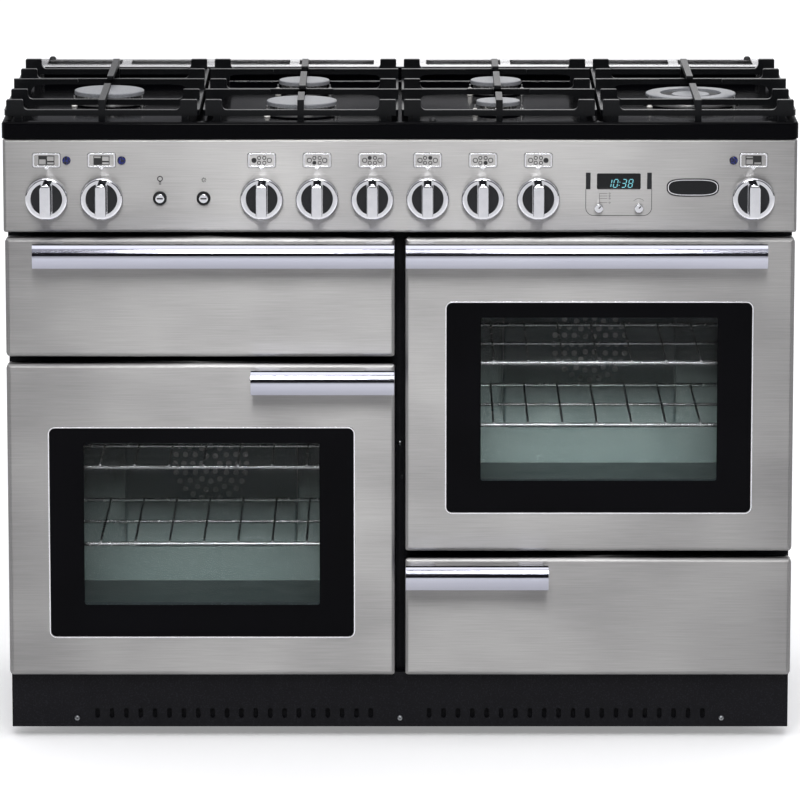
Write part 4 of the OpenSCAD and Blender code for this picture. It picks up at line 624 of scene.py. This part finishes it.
turn_mark = polyline(arc(CLOCK_X + CLOCK_KNOB_OUT, 756, 9, 40, 100, 9), MARK_LINE_W)
outlines += [(line, *THIN_INK) for line in turn_mark]
flat("clock_lines", outlines, print_and_shade, "cabinet")
SIDE_BAR_W, SIDE_BAR_H = 6.4, 23
side_bars = [(rounded(x, x + SIDE_BAR_W, top, top + SIDE_BAR_H, 0.6), -0.5, 0.1)
             for x in (left, right - SIDE_BAR_W)]
flat("clock_side_bars", side_bars, dark_plastic, "cabinet", bevel_mm=0.2)
bezel = (centred(CLOCK_X, CLOCK_Z, 30, 11, 2), -0.9, 0.2, centred(CLOCK_X, CLOCK_Z, 28.4, 9.4, 1))
flat("display_bezel", [bezel], clock_black, "cabinet", bevel_mm=0.3)


def bowed(x, z, half_w, half_h, count=48):
    """Outline of a rectangle whose sides all bow outwards."""
    points = []
    for i in range(count):
        t = 2 * math.pi * (i + 0.5) / count
        c, s = math.cos(t), math.sin(t)
        points.append((x + math.copysign(half_w * abs(c) ** 0.5, c),
                       z + math.copysign(half_h * abs(s) ** 0.75, s)))
    return points


BADGE_X, BADGE_Z = 401.5, 780.5
plate, rim, hole = [bowed(BADGE_X, BADGE_Z, half_w, half_h)
                    for half_w, half_h in ((36, 12.5), (34.2, 10.9), (33.2, 9.9))]
badge = flat("plain_badge", [(plate, -1.6, 0.1)], clock_black, "cabinet", bevel_mm=0.5)
flat("badge_rim", [(rim, -1.75, -1.5, hole)], plate_rim, "cabinet")
print("clock bars:", len(lit), "badge:", badge.name)

# %% [markdown]
# ## Windows
#
# A dark border is printed on the glass of each oven door. It leaves a clear area in the middle,
# through which the racks show. The steel's rolled edge shows as a thin bright line round the glass.

# %% Printed borders
OVEN_X = 274.5
WINDOW_W, WINDOW_H, WINDOW_UP, WINDOW_R = 421, 295, 55, 8
SIGHT_W, SIGHT_H, SIGHT_UP, SIGHT_R = 326, 229, 100, 3
for side, mid_x, door_z in (("left", -OVEN_X, 94), ("right", OVEN_X, 270)):
    body = f"{side}_oven_door"
    z = door_z + WINDOW_UP + WINDOW_H / 2
    border, rim, hole = [
        centred(mid_x, z, WINDOW_W / 2 + more, WINDOW_H / 2 + more, WINDOW_R + more)
        for more in (-0.3, 1.7, 0.1)]
    sight = centred(mid_x, door_z + SIGHT_UP + SIGHT_H / 2, SIGHT_W / 2, SIGHT_H / 2, SIGHT_R)
    flat(f"{side}_window_border", [(border, 1.2, 1.8, sight)], black_print, body, bevel_mm=0.2)
    flat(f"{side}_window_rim", [(rim, -0.5, 0.2, hole)], plate_rim, body, bevel_mm=0.3)
print("windows printed: 2")

# %% [markdown]
# ## Fasteners and small trims
#
# Screws hold the plinth and the rear sheet. A screw head here is a shallow dome, with its cross
# recess drawn as painted shade in two dark strokes. The pillar between the doors has one screw and
# one plug. A dark sheet, painted shade, stands a little behind the plinth's slots, so the floor
# doesn't shine through them.

# %% Screws
screw_steel = brushed("screw_zinc", "#9a9da0", [2, 2, 2], 0.3, 0.01, "#7b7e81")
dome = [(0.01, 2.0), (1.6, 1.9), (2.8, 1.4), (3.6, 0.6), (3.8, 0.0), (3.8, -0.2)]
CROSS_OUT, CROSS_ARM, CROSS_W = 2.05, 1.7, 0.7


def screws(name, centres, axis):
    """Pan head screws, whose cross recess is painted shade: two dark strokes on the dome."""
    turned(name, dome, centres, axis, screw_steel, "cabinet", 24)
    out = -CROSS_OUT if axis == "front" else CROSS_OUT
    painted_recess_shade = []
    # Each cross is two dark strokes of painted shade, where the recess would be in shadow.
    for x, depth, z in centres:
        for line in (stroke(x - CROSS_ARM, z, x + CROSS_ARM, z, CROSS_W),
                     stroke(x, z - CROSS_ARM, x, z + CROSS_ARM, CROSS_W)):
            painted_recess_shade.append((line, depth + out - 0.1, depth + out + 0.1))
    flat(f"{name}_recess_shade", painted_recess_shade, print_and_shade, "cabinet")


REAR_SHEET, REAR_X, PILLAR = 570, 530, 48
screws("plinth_screws", [(x, 24, 27) for x in (-451, 0, 449)], "front")
rear_edges = [(x, REAR_SHEET, z) for x in (-REAR_X, -REAR_X / 2, 0, REAR_X / 2, REAR_X)
              for z in (104, 838)]
rear_edges += [(x, REAR_SHEET, z) for x in (-REAR_X, REAR_X) for z in (290, 470, 650)]
screws("rear_screws", rear_edges, "back")
# Painted shade: a dark sheet behind the plinth's slots stands for the shade under the cooker.
shade_sheet = rounded(-520, 520, 17, 72, 1.5)
flat("plinth_shade_sheet", [(shade_sheet, 34, 35)], matt_black, "cabinet", bevel_mm=0.3)
screws("pillar_screw", [(0, PILLAR, 414)], "front")
plug = [(0.01, 0.6), (2.4, 0.5), (2.9, 0.0), (2.9, -0.3)]
turned("pillar_plug", plug, [(3, PILLAR, 366)], "front", dark_plastic, "cabinet", 20)
print("screws:", 4 + len(rear_edges))

# %% [markdown]
# ## Hob and oven details
#
# Each burner has a spark plug with a white ceramic sleeve, to the left and front of it. Three
# rubber domes stand on the hob, two at the rear corners and one on the front rim, and a black
# upstand closes the front of the flue trim. A lamp with a frosted glass sits in the back wall of
# each oven.

# %% Ceramics, domes and oven lamps
PROBE_ANGLE, PROBE_GAP, WELL_Z, RIM_Z = math.radians(35), 9, 863, 871
OUTER_X, INNER_X = 409.5, 136.5
# Middle of each burner, across and back, and its diameter.
burners = [(-OUTER_X, 245, 98), (-INNER_X, 137.5, 98), (-INNER_X, 352.5, 72),
           (INNER_X, 137.5, 61), (INNER_X, 352.5, 72), (OUTER_X, 245, 127)]
plugs = [(x - (d / 2 + PROBE_GAP) * math.cos(PROBE_ANGLE),
          depth - (d / 2 + PROBE_GAP) * math.sin(PROBE_ANGLE), WELL_Z) for x, depth, d in burners]
sleeve = [(4.2, 0.0), (4.2, 1.8), (2.9, 2.2), (2.9, 10.6), (2.2, 11.3), (1.1, 11.4)]
turned("spark_plug_sleeves", sleeve, plugs, "up", ceramic, body_of_node["burner_heads"], 24)

rubber, tree, shader = finish("black_rubber", "#0d0d0f", 0.55, ior=1.52)
skin = noise(tree, [1.5, 1.5, 1.5], detail=3.0)
join(tree, shader, Base_Color=mixed(tree, skin, "#0a0a0b", "#1a1a1d"),
     Roughness=vary(tree, skin, 0.45, 0.65))
trim_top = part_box("rear_vent_trim")[1].z / MM
trim_front = (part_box("rear_vent_trim")[0].y - FACE_Y) / MM
upstand = rounded(-515, 515, WELL_Z + 1, trim_top - 1.2, 1.5)
flat("hob_upstand", [(upstand, trim_front - 0.6, trim_front + 0.1)], gloss_black, "cabinet",
     bevel_mm=0.2)
bumper = [(0.01, 4.6), (2.4, 4.2), (4.2, 2.8), (5.0, 0.8), (5.0, -0.3)]
bumper_spots = [(-507, 556, trim_top), (507, 556, trim_top), (45, 11, RIM_Z)]
turned("hob_bumpers", bumper, bumper_spots, "up", rubber, "cabinet", 28)

frosted, tree, shader = finish("frosted_lamp_glass", "#dfe4e2", 0.4, ior=1.5,
                               Transmission_Weight=0.3)
frost = noise(tree, [2, 2, 2], detail=2.0)
join(tree, shader, Base_Color=mixed(tree, frost, "#cfd6d4", "#eef1f0"))
relief(tree, shader, frost, 0.1, 0.5)
OVEN_BACK, LAMP_OUT = 450, 158
lamp_spots = [(mid_x - LAMP_OUT, OVEN_BACK, z) for mid_x, z in ((-OVEN_X, 440), (OVEN_X, 616))]
lamp_glass = [(0.01, 7.0), (9.0, 6.4), (14.5, 4.0), (16.5, 0.0), (16.5, -0.4)]
lamp_rim = [(16.6, 3.6), (18.5, 3.8), (20.5, 2.2), (21.0, 0.0), (16.6, -0.3)]
turned("oven_lamp_glasses", lamp_glass, lamp_spots, "front", frosted, "cabinet", 36)
turned("oven_lamp_rims", lamp_rim, lamp_spots, "front", wire, "cabinet", 36)
print("sleeves:", len(plugs), "oven lamps:", len(lamp_spots))

# %% [markdown]
# ## Studio
#
# The cooker stands on a pale floor. Behind it the surround is grey just above the horizon, so that
# the hob mirrors a dark wall, and nearly white higher up. A lamp over the floor there brightens the
# backdrop. The camera's side of the studio is dark above the horizon, as a real one is, which gives
# the chrome and the handles their dark bands. Two tall soft boxes hang in front of the cooker,
# above the camera's view. Brushed steel mirrors them sideways, so the fronts are bright in the
# middle and darker towards the edges. A small lamp lights the inside of each oven.

# %% Floor, lamps and surround
FLOOR_FILL = 0.25  # glow of the floor, where the camera, a mirror or a pane shows it
FLOOR_REACH = 12
OVEN_LIGHT_SIZE, OVEN_LIGHT_SPREAD = (0.34, 0.02), 42
floor_paint, tree, shader = finish("studio_floor", "#f4f4f5", 0.7, ior=1.45,
                                   Emission_Color=linear("#ffffff"))
rays = add(tree, "ShaderNodeLightPath")
seen = rays.outputs["Is Camera Ray"]
for kind in ("Is Glossy Ray", "Is Transmission Ray"):
    seen = calc(tree, "MAXIMUM", seen, rays.outputs[kind])
join(tree, shader, Base_Color=mixed(tree, noise(tree, [900, 900, 900]), "#f2f2f3", "#f8f8f8"),
     Emission_Strength=remap(tree, seen, 0.0, 1.0, 0.0, FLOOR_FILL))
floor_data = bpy.data.meshes.new("studio_floor")
corners = [(x * FLOOR_REACH, y * FLOOR_REACH, 0) for x, y in ((-1, -1), (1, -1), (1, 1), (-1, 1))]
floor_data.from_pydata(corners, [], [(0, 1, 2, 3)])
floor = bpy.data.objects.new("studio_floor", floor_data)
floor_data.materials.append(floor_paint)
bpy.context.scene.collection.objects.link(floor)
floor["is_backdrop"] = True


def lamp(name, spot, target, size, power, tint="#ffffff", spread=180):
    """A soft lamp, size (width, height) in metres, that points at a target."""
    data = bpy.data.lights.new(name, "AREA")
    data.shape = "RECTANGLE"
    data.size, data.size_y = size
    data.energy = power
    data.spread = math.radians(spread)
    data.color = linear(tint)[:3]
    made_lamp = bpy.data.objects.new(name, data)
    made_lamp.location = spot
    made_lamp.rotation_mode = "QUATERNION"
    made_lamp.rotation_quaternion = (Vector(target) - Vector(spot)).to_track_quat("-Z", "Y")
    bpy.context.scene.collection.objects.link(made_lamp)


# Name, place, target, size and power of each lamp, in metres and watts.
lamps = [
    ("overhead_lamp", (0, -1.2, 3.2), (0, 0.0, 0.4), (2.4, 2.0), 23),
    ("left_soft_box", (-0.3, -3.6, 2.75), (-0.24, -0.3, 0.5), (0.4, 1.4), 38),
    ("right_soft_box", (0.36, -3.6, 2.75), (0.26, -0.3, 0.5), (0.34, 1.4), 29),
    ("left_lamp", (-3.0, -1.6, 1.9), (0, 0, 0.5), (1.6, 1.6), 6),
    ("right_lamp", (3.2, -1.4, 1.9), (0, 0, 0.5), (1.6, 1.6), 5),
    ("rear_lamp", (0.6, 3.0, 2.4), (0, 0, 0.5), (2.0, 2.0), 18),
    ("backdrop_lamp", (0, 6.0, 3.0), (0, 6.0, 0), (5.0, 5.0), 70),
]
for name, spot, target, size, power in lamps:
    lamp(name, spot, target, size, power)
# Name, place across, height of the oven's floor and power of each oven's light.
oven_lights = [("left_oven_light", -OVEN_X * MM, 0.13, 0.26),
               ("right_oven_light", OVEN_X * MM, 0.306, 0.36)]
for name, x, floor_z, power in oven_lights:
    lamp(name, (x, FACE_Y + 0.062, floor_z + 0.014), (x, FACE_Y + 0.45, floor_z + 0.01),
         OVEN_LIGHT_SIZE, power, "#e6f4ee", OVEN_LIGHT_SPREAD)

world = bpy.data.worlds.new("studio_surround")
world.use_nodes = True
bpy.context.scene.world = world
tree = world.node_tree
background = tree.nodes["Background"]
around = add(tree, "ShaderNodeTexCoord")
way = add(tree, "ShaderNodeSeparateXYZ", {"Vector": around.outputs["Generated"]})
height = remap(tree, way.outputs["Z"], -1, 1, 0, 1)


def bands(stops):
    """Colours of the surround: straight down is 0, the horizon 0.5 and straight up 1."""
    ramp = add(tree, "ShaderNodeValToRGB", {"Fac": height})
    points = ramp.color_ramp.elements
    points[0].position, points[0].color = stops[0][0], linear(stops[0][1])
    points[1].position, points[1].color = stops[-1][0], linear(stops[-1][1])
    for position, code in stops[1:-1]:
        points.new(position).color = linear(code)
    return ramp.outputs["Color"]


BELOW, OVERHEAD = [(0.0, "#ffffff"), (0.496, "#ffffff")], (1.0, "#e4e4e8")
camera_wall = bands([*BELOW, (0.506, "#202024"), (0.68, "#1c1c20"), (0.76, "#b4b4b9"), OVERHEAD])
rear_wall = bands([*BELOW, (0.506, "#6a6a6e"), (0.60, "#7c7c80"), (0.68, "#f0f0f2"), OVERHEAD])
camera_side = remap(tree, way.outputs["Y"], 0.4, 0.0)
tree.links.new(mixed(tree, camera_side, rear_wall, camera_wall), background.inputs["Color"])
background.inputs["Strength"].default_value = 1.0
bpy.context.scene.view_settings.view_transform = "Standard"
print("lamps:", len(lamps) + len(oven_lights))

# %% [markdown]
# ## Camera
#
# A very long lens from eight metres before the doors, two metres up and aimed slightly down. From
# there the uprights hardly converge, as in the photograph. A small shift keeps the whole cooker in.

# %% Camera
CAMERA_AWAY, CAMERA_UP, AIM_DOWN = 8.0, 2.0, 10.11
LENS_MM, SENSOR_MM, SHIFT = 265.5, 36, -0.08
lens = bpy.data.cameras.new("camera")
lens.lens = LENS_MM
lens.sensor_width = SENSOR_MM
lens.shift_y = SHIFT
lens.clip_end = 100
camera = bpy.data.objects.new("camera", lens)
camera.location = (0, FACE_Y - CAMERA_AWAY, CAMERA_UP)
camera.rotation_euler = (math.radians(90 - AIM_DOWN), 0, 0)
bpy.context.scene.collection.objects.link(camera)
bpy.context.scene.camera = camera

# %% Sizes, then finish
low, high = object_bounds()
print("visual box in mm:", [round(v * 1000) for v in low], [round(v * 1000) for v in high])
